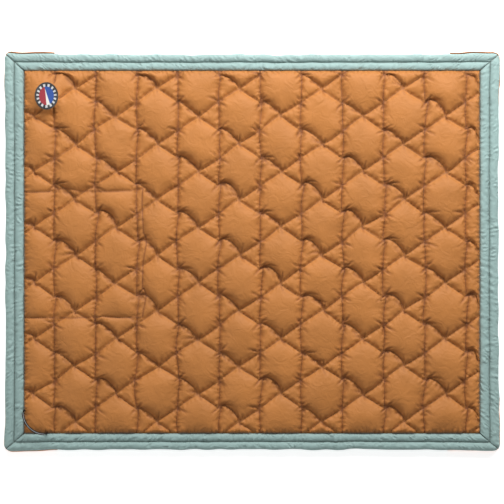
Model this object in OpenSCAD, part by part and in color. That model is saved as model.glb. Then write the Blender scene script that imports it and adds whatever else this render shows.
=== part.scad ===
// Quilted camp blanket: two cloth faces quilted over a loose batt, a stuffed two-channel
// border, four corner pockets and a zipped stuff pocket on the back, a corner loop and a badge.
// It lies face up. +X is along the long side, +Y along the short side, +Z up, and the
// origin is on the ground under the middle of the blanket. Millimetres.

/* [Quilted panel] */
// Length of the quilted panel along X, between the border seams
panel_w = 1596; // [1200:1:2000]
// Width of the quilted panel along Y, between the border seams
panel_h = 1270; // [1000:1:1700]
// Distance between the straight seam lines along X
quilt_pitch_x = 144; // [110:1:190]
// Height of one puff and its neighbour's start along Y
quilt_pitch_y = 194.5; // [150:0.5:250]
// Place of one straight seam line, from the middle of the panel
quilt_shift_x = 28; // [-70:1:70]
// Place of one seam crossing beside it, from the middle of the panel
quilt_shift_y = 86; // [-95:1:95]

/* [Thickness] */
// Height of a puff's crown above the ground
puff_z = 47; // [40:0.5:60]
// Height of the face cloth at a seam
seam_z = 22.8; // [21:0.1:26]
// Half width of a seam valley at the crown's height
valley_half_w = 22; // [14:0.5:23]
// Half width of the flat floor of a seam valley
valley_floor_half_w = 2; // [1.6:0.1:3]
// Half width of a pocket seam's valley at the crown's height
pocket_valley_half_w = 9; // [6:0.5:14]
// Thickness of the shell cloth, drawn heavier than woven cloth so that it holds as a solid
cloth_t = 0.8; // [0.6:0.05:1.2]

/* [Border] */
// Width of the border along the two short sides
side_border_w = 68; // [60:0.5:90]
// Width of the border along the two long sides
end_border_w = 59; // [57:0.5:80]
// Height of a stuffed border channel
channel_h = 28; // [26:0.5:28]

/* [Stitching] */
// Width of a row of stitches
stitch_w = 1.6; // [1:0.1:2]
// Height of a row of stitches above the cloth
stitch_h = 0.8; // [0.4:0.1:1]

/* [Corner pockets] */
// Length of a corner pocket along each edge of the blanket
corner_pocket_leg = 180; // [140:1:220]
// How far a corner pocket stands out past the border
corner_pocket_lip = 6; // [3:0.5:12]
// Room left in front of a corner pocket's mouth, along each edge
corner_mouth_room = 60; // [50:1:80]
// Width of the turned hem at a corner pocket's mouth
corner_hem_w = 12; // [6:1:20]
// Height of the hollow that the pockets lie in, under the back cloth
pocket_depth = 13; // [12:0.5:14]

/* [Stuff pocket] */
// Length of the stuff pocket along X
stuff_pocket_w = 405; // [300:1:480]
// Width of the stuff pocket along Y
stuff_pocket_h = 438; // [340:1:480]
// Distance from the border seam to the stuff pocket
stuff_pocket_inset = 8; // [4:1:20]
// Place of the stuff pocket's middle along Y
stuff_pocket_y = -10; // [-60:1:60]

/* [Zip] */
// Width of one zip tape
zip_tape_w = 14; // [10:0.5:20]
// Width of one coil
coil_w = 3; // [2.5:0.1:4]
// Height of a coil
coil_h = 2.4; // [2:0.1:3]
// Gap between the two coils of the open zip
zip_gap = 7; // [6:0.5:9]
// Stretch of plain tape at the start of the chain
zip_start_tail = 10; // [8:1:30]
// Stretch of plain tape at the end of the chain
zip_end_tail = 30; // [28:1:60]
// Length of the slider
slider_len = 12; // [10:0.5:16]
// Length of the puller from its pin to its tip
puller_len = 24; // [18:1:26]
// Width of the puller's tab
puller_w = 7; // [6:0.5:9]
// Clearance between pieces that move on each other
run_gap = 0.3; // [0.3:0.05:0.4]

/* [Corner loop] */
// Radius of the loop at the middle of its tape
loop_r = 75; // [50:1:100]
// Width of the loop tape
loop_tape_w = 8; // [6:0.5:12]
// Thickness of the loop tape
loop_tape_t = 1.2; // [1:0.1:2]
// Width of the grey tracer woven in the tape
tracer_w = 2.4; // [1.5:0.1:4]
// Gap between the loop and the puff under it
loop_lift = 5; // [4.6:0.1:8]

/* [Badge] */
// Width of the sewn badge along X
badge_w = 82; // [60:1:100]
// Width of the sewn badge along Y
badge_h = 95; // [60:1:110]
// Distance from the border's side seam to the badge's middle
badge_from_side = 82; // [60:1:200]
// Distance from the border's upper seam to the badge's middle
badge_from_end = 91; // [60:1:200]
// Width of the badge's dark rim
badge_rim_w = 6; // [4:0.5:10]
// Width of the pale band inside the rim
badge_band_w = 9; // [6:0.5:14]

/* [Care label] */
// Width of the blank label
label_w = 32; // [20:1:45]
// Length of the blank label
label_h = 55; // [30:1:80]

/* [Hidden] */
$fn = 48;

rust = [0.78, 0.47, 0.24];
teal = [0.50, 0.62, 0.60];
dark_thread = [0.36, 0.22, 0.13];
tape_black = [0.08, 0.08, 0.09];
white_fill = [0.93, 0.93, 0.91];

// Outer size of the border, and of the whole blanket with its pocket lips
border_out_w = panel_w + 2 * side_border_w;
border_out_h = panel_h + 2 * end_border_w;
blanket_w = border_out_w + 2 * corner_pocket_lip;
blanket_h = border_out_h + 2 * corner_pocket_lip;

// The upper and lower shells meet at this height
split_z = seam_z - 5;
// Overshoot of a cutting solid past the faces that it cuts
over = 1;
// Half the diagonal of the blanket: a length that reaches right across it from any seam
reach = norm([border_out_w, border_out_h]);

// Seam lattice: each slanted seam climbs half a puff in one pitch
slant = quilt_pitch_y / (2 * quilt_pitch_x);
slant_deg = atan(slant);
valley_slope = (valley_half_w - valley_floor_half_w) / (puff_z - seam_z);
pocket_valley_slope = (pocket_valley_half_w - stitch_w) / (puff_z - seam_z);
lines_x = ceil(panel_w / quilt_pitch_x);
lines_y = ceil((panel_h + panel_w * slant) / quilt_pitch_y);

// Border channel profile
channel_r = channel_h / 2;
web_w = 8;
web_bottom_z = 12;
web_top_z = seam_z - cloth_t;
neck_half_w = 5;
neck_bottom_z = 8;

// Corner pocket: its wall stands under the border's outer edge
pocket_wall_back = 2;

// Stuff pocket outline, inside the recess of the back cloth
stuff_x0 = -panel_w / 2 + stuff_pocket_inset;
stuff_x1 = stuff_x0 + stuff_pocket_w;
stuff_y0 = stuff_pocket_y - stuff_pocket_h / 2;
stuff_y1 = stuff_pocket_y + stuff_pocket_h / 2;

// Zip heights, from the ground up: puller, slider plate, coils with their tapes, slider plate
puller_axis_z = 1.8;
puller_pin_r = 0.5;
puller_barrel_r = puller_pin_r + run_gap + 0.5;
puller_tab_t = 1;
plate_t = 1.1;
outer_plate_z = puller_axis_z + puller_barrel_r + run_gap;
coil_z = outer_plate_z + plate_t + run_gap;
tape_z = coil_z + coil_h / 2 - cloth_t / 2;
inner_plate_z = coil_z + coil_h + run_gap;
stuff_z = tape_z - cloth_t;

// Zip places along X, from the sewn edge of the back tape inwards
back_coil_x0 = stuff_x1 - zip_tape_w - coil_w;
pocket_coil_x0 = back_coil_x0 - zip_gap - coil_w;
pocket_tape_x0 = pocket_coil_x0 - zip_tape_w;
zip_mid_x = back_coil_x0 - zip_gap / 2;
tape_overlap = 8;
chain_y0 = stuff_y0 + zip_start_tail;
chain_y1 = stuff_y1 - zip_end_tail;
stop_len = 3;
slider_y0 = chain_y0 + run_gap;
flange_w = 0.8;
slider_w = zip_gap + 2 * (coil_w + run_gap + flange_w);
puller_axis_y = slider_y0 + slider_len / 2;
ear_t = 1.2;
ear_r = 1.3;
ear_gap_half = 2.8;

// Corner loop: a quarter ring whose ends stand over the two border seams
loop_x = -panel_w / 2 + loop_r + loop_tape_t / 2 + 0.4;
loop_y = -panel_h / 2 + loop_r + loop_tape_t / 2 + 0.4;
loop_z = puff_z + loop_lift;
loop_end_deg = 1.5;

// Badge
badge_x = -panel_w / 2 + badge_from_side;
badge_y = panel_h / 2 - badge_from_end;
badge_layer_t = 0.8;
badge_tilt_deg = 12;

// ---------------------------------------------------------------- quilted panel

// Cutter for one seam valley along +X through the origin, its faces moved out by grow
module valley(floor_half_w, slope, grow) {
    floor_w = floor_half_w + grow * (sqrt(1 + slope * slope) - slope);
    floor_z = seam_z - grow;
    top_z = puff_z + over;
    top_w = floor_w + slope * (top_z - floor_z);
    rotate([90, 0, 90])
        linear_extrude(height = 2 * reach, center = true)
            polygon([[-floor_w, floor_z], [floor_w, floor_z], [top_w, top_z], [-top_w, top_z]]);
}

// Puts its children at every seam line of the quilting, along each line
module at_quilt_lines() {
    for (i = [-lines_x : lines_x]) {
        x = quilt_shift_x + i * quilt_pitch_x;
        if (abs(x) < panel_w / 2 - valley_floor_half_w)
            translate([x, 0, 0])
                rotate([0, 0, 90])
                    children();
    }
    for (side = [-1, 1])
        for (i = [-lines_y : lines_y]) {
            y = quilt_shift_y + i * quilt_pitch_y;
            height_in_middle = y - side * slant * (quilt_shift_x + quilt_pitch_x / 2);
            if (abs(height_in_middle) < panel_h / 2 + slant * panel_w / 2)
                translate([0, height_in_middle, 0])
                    rotate([0, 0, side * slant_deg])
                        children();
        }
}

// Puts its children along the four border seams
module at_border_seams() {
    for (side = [-1, 1]) {
        translate([0, side * panel_h / 2, 0])
            children();
        translate([side * panel_w / 2, 0, 0])
            rotate([0, 0, 90])
                children();
    }
}

// The three sides of the stuff pocket that are sewn through to the face, as plan bars
module stuff_pocket_bars(half_w, z0, z1) {
    for (y = [stuff_y0, stuff_y1])
        translate([-panel_w / 2, y - half_w, z0])
            cube([stuff_x1 + half_w + panel_w / 2, 2 * half_w, z1 - z0]);
    translate([stuff_x1 - half_w, stuff_y0 - half_w, z0])
        cube([2 * half_w, stuff_y1 - stuff_y0 + 2 * half_w, z1 - z0]);
}

// Cutter for the valleys of the pocket seams, which end at the pocket's corners
module stuff_pocket_valleys(grow) {
    intersection() {
        union() {
            for (y = [stuff_y0, stuff_y1])
                translate([0, y, 0])
                    valley(stitch_w, pocket_valley_slope, grow);
            translate([stuff_x1, 0, 0])
                rotate([0, 0, 90])
                    valley(stitch_w, pocket_valley_slope, grow);
        }
        stuff_pocket_bars(pocket_valley_half_w + grow, 0, puff_z + over);
    }
}

// Upper half of the quilted pad, its skin moved in by inset, reaching down to from_z
module pad_top(inset, from_z) {
    difference() {
        translate([-panel_w / 2 + inset, -panel_h / 2 + inset, from_z])
            cube([panel_w - 2 * inset, panel_h - 2 * inset, puff_z - inset - from_z]);
        at_quilt_lines()
            valley(valley_floor_half_w, valley_slope, inset);
        at_border_seams()
            valley(valley_floor_half_w, valley_slope, inset);
        stuff_pocket_valleys(inset);
    }
}

// Hollow under one corner of the blanket, open at the ground, its faces moved out by grow
module corner_recess(grow) {
    leg = corner_pocket_leg + corner_mouth_room + grow * sqrt(2);
    translate([border_out_w / 2, border_out_h / 2, -over])
        linear_extrude(height = over + pocket_depth + grow)
            polygon([[over, over], [over, -leg - over], [0, -leg], [-leg, 0], [-leg - over, over]]);
}

module corner_recesses(grow) {
    for (mx = [0, 1])
        for (my = [0, 1])
            mirror([mx, 0, 0])
                mirror([0, my, 0])
                    corner_recess(grow);
}

// Hollow under the back cloth that the stuff pocket closes
module stuff_recess(grow) {
    translate([stuff_x0 - grow, stuff_y0 - grow, -over])
        cube([stuff_pocket_w + 2 * grow, stuff_pocket_h + 2 * grow, over + pocket_depth + grow]);
}

// Lower half of the quilted pad, its skin moved in by inset, reaching up to to_z
module pad_bottom(inset, to_z) {
    difference() {
        translate([-panel_w / 2 + inset, -panel_h / 2 + inset, inset])
            cube([panel_w - 2 * inset, panel_h - 2 * inset, to_z - inset]);
        corner_recesses(inset);
        stuff_recess(inset);
    }
}

module face_panel() {
    color(rust)
        difference() {
            pad_top(0, split_z);
            pad_top(cloth_t, split_z - over);
        }
}

module back_panel() {
    color(teal)
        difference() {
            pad_bottom(0, split_z);
            pad_bottom(cloth_t, split_z + over);
        }
}

module insulation_batt() {
    color(white_fill)
        union() {
            pad_top(cloth_t, split_z);
            pad_bottom(cloth_t, split_z);
        }
}

// ---------------------------------------------------------------- border

// One stuffed channel from x0 to x1, its skin moved in by inset
module channel_profile(x0, x1, inset) {
    for (x = [x0 + channel_r, x1 - channel_r])
        translate([x, channel_r])
            circle(r = channel_r - inset);
    translate([x0 + channel_r, inset])
        square([x1 - x0 - channel_h, channel_h - 2 * inset]);
}

// Both channels of a border of width w
module channels_profile(w, inset) {
    channel_profile(0, w / 2, inset);
    channel_profile(w / 2, w, inset);
}

// The border's cloth before the fill is taken out: channels, seam allowance and the sewn neck
module border_profile(w) {
    channels_profile(w, 0);
    translate([0, web_bottom_z])
        square([web_w, web_top_z - web_bottom_z]);
    translate([w / 2 - neck_half_w, neck_bottom_z])
        square([2 * neck_half_w, web_top_z - neck_bottom_z]);
}

// Turns a profile into a strip on the +X side of a panel whose half size there is half_w
module strip(half_w) {
    translate([half_w, 0, 0])
        rotate([90, 0, 0])
            linear_extrude(height = reach, center = true)
                children();
}

// Plan of one mitred border strip on the +X side
module mitre(half_w, half_h, w, h) {
    translate([0, 0, -over])
        linear_extrude(height = channel_h + 2 * over)
            polygon([[half_w, -half_h], [half_w + w, -half_h - h],
                     [half_w + w, half_h + h], [half_w, half_h]]);
}

// Cloth of one mitred strip, lying on the +X side
module strip_cloth(half_w, half_h, w, h) {
    intersection() {
        strip(half_w)
            difference() {
                border_profile(w);
                channels_profile(w, cloth_t);
            }
        mitre(half_w, half_h, w, h);
    }
}

// Fill of one mitred strip, lying on the +X side
module strip_fill(half_w, half_h, w, h) {
    intersection() {
        strip(half_w)
            channels_profile(w, cloth_t);
        mitre(half_w, half_h, w, h);
    }
}

// Solid outline of one mitred strip, from which the lining of its recess is cut
module strip_outline(half_w, half_h, w, h) {
    intersection() {
        strip(half_w)
            border_profile(w);
        mitre(half_w, half_h, w, h);
    }
}

// Side borders run along the short sides, end borders along the long sides
module side_border_cloth() {
    difference() {
        union() {
            strip_cloth(panel_w / 2, panel_h / 2, side_border_w, end_border_w);
            intersection() {
                strip_outline(panel_w / 2, panel_h / 2, side_border_w, end_border_w);
                corner_recesses(cloth_t);
            }
        }
        corner_recesses(0);
    }
}

module side_border_fill() {
    difference() {
        strip_fill(panel_w / 2, panel_h / 2, side_border_w, end_border_w);
        corner_recesses(cloth_t);
    }
}

module end_border_cloth() {
    difference() {
        rotate([0, 0, 90])
            strip_cloth(panel_h / 2, panel_w / 2, end_border_w, side_border_w);
        corner_recesses(0);
    }
    intersection() {
        rotate([0, 0, 90])
            strip_outline(panel_h / 2, panel_w / 2, end_border_w, side_border_w);
        difference() {
            corner_recesses(cloth_t);
            corner_recesses(0);
        }
    }
}

module end_border_fill() {
    difference() {
        rotate([0, 0, 90])
            strip_fill(panel_h / 2, panel_w / 2, end_border_w, side_border_w);
        corner_recesses(cloth_t);
    }
}

module border_right() { color(teal) side_border_cloth(); }
module border_left() { color(teal) mirror([1, 0, 0]) side_border_cloth(); }
module border_top() { color(teal) end_border_cloth(); }
module border_bottom() { color(teal) mirror([0, 1, 0]) end_border_cloth(); }
module border_fill_right() { color(white_fill) side_border_fill(); }
module border_fill_left() { color(white_fill) mirror([1, 0, 0]) side_border_fill(); }
module border_fill_top() { color(white_fill) end_border_fill(); }
module border_fill_bottom() { color(white_fill) mirror([0, 1, 0]) end_border_fill(); }

// ---------------------------------------------------------------- stitching

// A row of stitches on the valley floor along +X through the origin
module stitch_row() {
    translate([-reach, -stitch_w / 2, seam_z])
        cube([2 * reach, stitch_w, stitch_h]);
}

// The quilting rows stop short of the border seam's own row
module quilting_rows() {
    clip_w = panel_w - 2 * stitch_w;
    clip_h = panel_h - 2 * stitch_w;
    intersection() {
        union()
            at_quilt_lines()
                stitch_row();
        translate([-clip_w / 2, -clip_h / 2, 0])
            cube([clip_w, clip_h, puff_z]);
    }
}

module quilting_thread() {
    color(dark_thread)
        quilting_rows();
}

// A rectangular ring of stitches whose outer size is w by h
module stitch_ring(w, h, z) {
    translate([0, 0, z])
        linear_extrude(height = stitch_h)
            difference() {
                square([w, h], center = true);
                square([w - 2 * stitch_w, h - 2 * stitch_w], center = true);
            }
}

// Inner ring: the border seam. Outer ring: the row between the border's two channels
module border_thread() {
    color(dark_thread) {
        stitch_ring(panel_w, panel_h, seam_z);
        stitch_ring(panel_w + side_border_w + stitch_w, panel_h + end_border_w + stitch_w, web_top_z);
    }
}

// The pocket's rows lie over the quilting rows that they cross
module pocket_thread() {
    clip_w = panel_w - 2 * stitch_w;
    color(dark_thread)
        difference() {
            intersection() {
                stuff_pocket_bars(stitch_w / 2, seam_z, seam_z + 2 * stitch_h);
                translate([-clip_w / 2, -panel_h / 2, 0])
                    cube([clip_w, panel_h, puff_z]);
            }
            quilting_rows();
        }
}

// ---------------------------------------------------------------- corner pockets

// One corner pocket at the +X +Y corner: a sheet, two walls up to the border and a turned hem
module corner_pocket() {
    sheet_x = blanket_w / 2;
    sheet_y = blanket_h / 2;
    wall_x = border_out_w / 2 - pocket_wall_back;
    wall_y = border_out_h / 2 - pocket_wall_back;
    wall_leg = corner_pocket_leg - corner_pocket_lip - pocket_wall_back;
    hem = corner_hem_w * sqrt(2);
    linear_extrude(height = cloth_t)
        polygon([[sheet_x, sheet_y], [sheet_x, sheet_y - corner_pocket_leg],
                 [sheet_x - corner_pocket_leg, sheet_y]]);
    translate([wall_x - cloth_t, wall_y - wall_leg, cloth_t])
        cube([cloth_t, wall_leg, pocket_depth - cloth_t]);
    translate([wall_x - wall_leg, wall_y - cloth_t, cloth_t])
        cube([wall_leg, cloth_t, pocket_depth - cloth_t]);
    translate([0, 0, cloth_t])
        linear_extrude(height = cloth_t)
            intersection() {
                polygon([[sheet_x, sheet_y - corner_pocket_leg],
                         [sheet_x - corner_pocket_leg, sheet_y],
                         [sheet_x - corner_pocket_leg + hem, sheet_y],
                         [sheet_x, sheet_y - corner_pocket_leg + hem]]);
                square([2 * (wall_x - cloth_t), 2 * (wall_y - cloth_t)], center = true);
            }
}

module corner_pocket_top_right() { color(rust) corner_pocket(); }
module corner_pocket_top_left() { color(rust) mirror([1, 0, 0]) corner_pocket(); }
module corner_pocket_bottom_right() { color(rust) mirror([0, 1, 0]) corner_pocket(); }
module corner_pocket_bottom_left() { color(rust) mirror([1, 0, 0]) mirror([0, 1, 0]) corner_pocket(); }

// ---------------------------------------------------------------- stuff pocket and zip

module stuff_pocket() {
    color(rust)
        translate([stuff_x0, stuff_y0, stuff_z])
            cube([pocket_tape_x0 + tape_overlap - stuff_x0, stuff_pocket_h, cloth_t]);
}

// A blank label sewn in the pocket's upper seam, outside the pocket
module care_label() {
    label_t = 0.5;
    color("white")
        translate([(stuff_x0 + pocket_tape_x0 - label_w) / 2, stuff_y1 - label_h, stuff_z - label_t])
            cube([label_w, label_h, label_t]);
}

module zip_tape(x0) {
    translate([x0, stuff_y0, tape_z])
        cube([zip_tape_w, stuff_pocket_h, cloth_t]);
}

module zip_coil(x0) {
    translate([x0, chain_y0, coil_z])
        cube([coil_w, chain_y1 - chain_y0, coil_h]);
}

module zip_tape_pocket_side() { color(tape_black) zip_tape(pocket_tape_x0); }
module zip_tape_back_side() { color(tape_black) zip_tape(stuff_x1 - zip_tape_w); }
module zip_coil_pocket_side() { color(tape_black) zip_coil(pocket_coil_x0); }
module zip_coil_back_side() { color(tape_black) zip_coil(back_coil_x0); }

// One small stop at the end of each coil
module zip_top_stops() {
    color("silver")
        for (x = [pocket_coil_x0, back_coil_x0])
            translate([x, chain_y1, coil_z])
                cube([coil_w, stop_len, coil_h]);
}

// The stop that holds the two coils together at the start of the chain
module zip_bottom_stop() {
    color("silver")
        translate([pocket_coil_x0, chain_y0 - stop_len, coil_z])
            cube([2 * coil_w + zip_gap, stop_len, coil_h]);
}

// One plate of the slider
module slider_plate(z) {
    translate([zip_mid_x - slider_w / 2, slider_y0, z])
        cube([slider_w, slider_len, plate_t]);
}

// The slider: two plates on a neck between the coils, flanges that leave a slot for each tape,
// and two ears that carry the puller's pin
module zip_slider() {
    neck_w = zip_gap / 2;
    neck_len = slider_len - 4;
    slot_z0 = tape_z - run_gap;
    slot_z1 = tape_z + cloth_t + run_gap;
    color("silver") {
        slider_plate(outer_plate_z);
        slider_plate(inner_plate_z);
        translate([zip_mid_x - neck_w / 2, slider_y0 + 2, outer_plate_z + plate_t])
            cube([neck_w, neck_len, inner_plate_z - outer_plate_z - plate_t]);
        for (x = [zip_mid_x - slider_w / 2, zip_mid_x + slider_w / 2 - flange_w]) {
            translate([x, slider_y0, outer_plate_z + plate_t])
                cube([flange_w, slider_len, slot_z0 - outer_plate_z - plate_t]);
            translate([x, slider_y0, slot_z1])
                cube([flange_w, slider_len, inner_plate_z - slot_z1]);
        }
        for (x = [zip_mid_x - ear_gap_half - ear_t, zip_mid_x + ear_gap_half]) {
            translate([x, puller_axis_y, puller_axis_z])
                rotate([0, 90, 0])
                    cylinder(r = ear_r, h = ear_t);
            translate([x, puller_axis_y - ear_r, puller_axis_z])
                cube([ear_t, 2 * ear_r, outer_plate_z - puller_axis_z]);
        }
        translate([zip_mid_x - ear_gap_half, puller_axis_y, puller_axis_z])
            rotate([0, 90, 0])
                cylinder(r = puller_pin_r, h = 2 * ear_gap_half);
    }
}

// The puller: a barrel round the pin and a flat tab with a finger hole
module zip_puller() {
    barrel_len = 2 * (ear_gap_half - run_gap);
    tab_y0 = puller_axis_y + ear_r + run_gap;
    tab_y1 = puller_axis_y + puller_len;
    color("silver")
        difference() {
            union() {
                translate([zip_mid_x - barrel_len / 2, puller_axis_y, puller_axis_z])
                    rotate([0, 90, 0])
                        cylinder(r = puller_barrel_r, h = barrel_len);
                translate([zip_mid_x - barrel_len / 2, puller_axis_y, puller_axis_z - puller_tab_t / 2])
                    cube([barrel_len, tab_y0 - puller_axis_y + 1, puller_tab_t]);
                translate([zip_mid_x - puller_w / 2, tab_y0 + run_gap, puller_axis_z - puller_tab_t / 2])
                    cube([puller_w, tab_y1 - puller_w / 2 - tab_y0 - run_gap, puller_tab_t]);
                translate([zip_mid_x, tab_y1 - puller_w / 2, puller_axis_z - puller_tab_t / 2])
                    cylinder(r = puller_w / 2, h = puller_tab_t);
            }
            translate([zip_mid_x - barrel_len, puller_axis_y, puller_axis_z])
                rotate([0, 90, 0])
                    cylinder(r = puller_pin_r + run_gap, h = 2 * barrel_len);
            translate([zip_mid_x, tab_y1 - puller_w / 2, puller_axis_z - puller_tab_t])
                cylinder(r = puller_w / 4, h = 2 * puller_tab_t);
        }
}

// ---------------------------------------------------------------- corner loop

// A quarter ring of tape of width w about the loop's middle, between its two sewn ends
module quarter_tape(w) {
    translate([loop_x, loop_y, 0])
        rotate([0, 0, 180 + loop_end_deg])
            rotate_extrude(angle = 90 - 2 * loop_end_deg, $fn = 96)
                translate([loop_r - w / 2, 0])
                    children();
}

// The tape without its tracer, which is woven into the middle of it
module corner_loop() {
    color(tape_black)
        quarter_tape(loop_tape_w)
            translate([0, loop_z])
                difference() {
                    square([loop_tape_w, loop_tape_t]);
                    translate([(loop_tape_w - tracer_w) / 2, loop_tape_t / 2])
                        square([tracer_w, loop_tape_t]);
                }
}

module loop_tracer() {
    color("silver")
        quarter_tape(tracer_w)
            translate([0, loop_z + loop_tape_t / 2])
                square([tracer_w, loop_tape_t / 2]);
}

// The loop's two sewn ends, standing in the border seams
module loop_tails() {
    tail_z = seam_z + stitch_h;
    tail_h = loop_z - run_gap - tail_z;
    color(tape_black) {
        translate([loop_x - loop_r - loop_tape_t / 2, loop_y, tail_z])
            cube([loop_tape_t, loop_tape_w, tail_h]);
        translate([loop_x, loop_y - loop_r - loop_tape_t / 2, tail_z])
            cube([loop_tape_w, loop_tape_t, tail_h]);
    }
}

// ---------------------------------------------------------------- badge

// An oval of the badge's outline, shrunk by inset
module badge_oval(inset) {
    scale([(badge_w - 2 * inset) / (badge_h - 2 * inset), 1])
        circle(d = badge_h - 2 * inset);
}

// One layer of the badge, in place
module badge_layer(z) {
    translate([badge_x, badge_y, z])
        linear_extrude(height = badge_layer_t)
            children();
}

// The picture inside the band is three plain patches: two side fields and a peak between them
module badge_inside() {
    badge_oval(badge_rim_w + badge_band_w);
}

module peak_outline() {
    half = badge_w / 2 - badge_rim_w - badge_band_w;
    rotate([0, 0, badge_tilt_deg])
        polygon([[-half / 2, -badge_h], [half / 2, -badge_h], [0, half]]);
}

module badge_backing() { color(tape_black) badge_layer(puff_z) badge_oval(0); }

module badge_rim() {
    color(tape_black)
        badge_layer(puff_z + badge_layer_t)
            difference() {
                badge_oval(0);
                badge_oval(badge_rim_w);
            }
}

module badge_band() {
    color("ivory")
        badge_layer(puff_z + badge_layer_t)
            difference() {
                badge_oval(badge_rim_w);
                badge_inside();
            }
}

// The side fields lie left and right of the peak
module side_field(side) {
    badge_layer(puff_z + badge_layer_t)
        difference() {
            intersection() {
                badge_inside();
                rotate([0, 0, badge_tilt_deg])
                    translate([side * badge_h / 2, 0])
                        square([badge_h, 2 * badge_h], center = true);
            }
            peak_outline();
        }
}

module badge_left_field() { color("firebrick") side_field(-1); }
module badge_right_field() { color("navy") side_field(1); }

module badge_peak() {
    color("ivory")
        badge_layer(puff_z + badge_layer_t)
            intersection() {
                badge_inside();
                peak_outline();
            }
}

// ---------------------------------------------------------------- output

face_panel();
insulation_batt();
back_panel();
border_left();
border_right();
border_top();
border_bottom();
border_fill_left();
border_fill_right();
border_fill_top();
border_fill_bottom();
quilting_thread();
border_thread();
pocket_thread();
corner_pocket_top_left();
corner_pocket_top_right();
corner_pocket_bottom_left();
corner_pocket_bottom_right();
stuff_pocket();
care_label();
zip_tape_pocket_side();
zip_tape_back_side();
zip_coil_pocket_side();
zip_coil_back_side();
zip_top_stops();
zip_bottom_stop();
zip_slider();
zip_puller();
corner_loop();
loop_tracer();
loop_tails();
badge_backing();
badge_rim();
badge_band();
badge_left_field();
badge_right_field();
badge_peak();
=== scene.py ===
"""Looks of a quilted camp blanket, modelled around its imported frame.

The blanket lies face up. +X runs along the long side, +Y along the short side and +Z up.
Lengths are in metres. Every piece keeps its object at the origin, with its place in its mesh.
"""

import logging
import math
from dataclasses import dataclass, field
from enum import Enum
from typing import Callable, ClassVar, Iterable

import bmesh
import bpy
import numpy as np
from mathutils import Matrix, Vector
from mathutils.bvhtree import BVHTree


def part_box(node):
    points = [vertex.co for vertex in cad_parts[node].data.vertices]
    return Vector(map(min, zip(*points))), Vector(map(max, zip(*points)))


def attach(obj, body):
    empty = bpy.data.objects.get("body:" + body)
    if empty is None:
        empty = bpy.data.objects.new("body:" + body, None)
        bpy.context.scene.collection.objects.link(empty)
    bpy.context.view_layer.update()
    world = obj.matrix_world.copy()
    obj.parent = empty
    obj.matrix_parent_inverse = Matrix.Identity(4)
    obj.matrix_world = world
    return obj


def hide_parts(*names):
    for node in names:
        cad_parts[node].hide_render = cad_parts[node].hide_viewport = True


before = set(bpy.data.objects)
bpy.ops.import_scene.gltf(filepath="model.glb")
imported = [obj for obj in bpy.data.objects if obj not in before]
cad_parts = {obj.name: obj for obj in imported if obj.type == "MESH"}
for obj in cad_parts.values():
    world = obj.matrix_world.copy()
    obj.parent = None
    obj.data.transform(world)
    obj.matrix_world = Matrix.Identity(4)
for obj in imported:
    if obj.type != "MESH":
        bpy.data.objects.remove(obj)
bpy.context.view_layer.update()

LOG = logging.getLogger("camp_blanket")
SEAM_Z = 0.0175
CROWN_Z = 0.0465
Array = np.ndarray
Lift = Callable[[Array, Array], Array]
Shift = Callable[[Array, Array], tuple[Array, Array]]


# ---------------------------------------------------------------- fields over the cloth


def ripple(x: Array, y: Array, size: float, seed: int) -> Array:
    """Smooth seeded noise of about unit strength.

    Args:
        x: Places along X.
        y: Places along Y.
        size: Length of one wave of the noise.
        seed: Which noise it is.

    Returns:
        One value for each place.
    """
    draw = np.random.default_rng(seed)
    total = np.zeros_like(x, dtype=float)
    waves = 24
    for _ in range(waves):
        heading = draw.uniform(0, 2 * math.pi)
        rate = 2 * math.pi * draw.uniform(0.6, 1.6) / size
        start = draw.uniform(0, 2 * math.pi)
        total += np.cos(rate * (x * math.cos(heading) + y * math.sin(heading)) + start)
    return total / math.sqrt(waves / 2)


def scatter(column: Array, row: Array, seed: int) -> Array:
    """A fixed draw from 0 to 1 for each cell of a lattice.

    Args:
        column: Cell numbers along X.
        row: Cell numbers along Y.
        seed: Which draw it is.

    Returns:
        One value for each cell.
    """
    mixed = np.sin(column * 12.9898 + row * 78.233 + seed * 37.719) * 43758.5453
    return mixed - np.floor(mixed)


def ease(value: Array) -> Array:
    """Smooth step from 0 to 1."""
    t = np.clip(value, 0, 1)
    return t * t * (3 - 2 * t)


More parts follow.
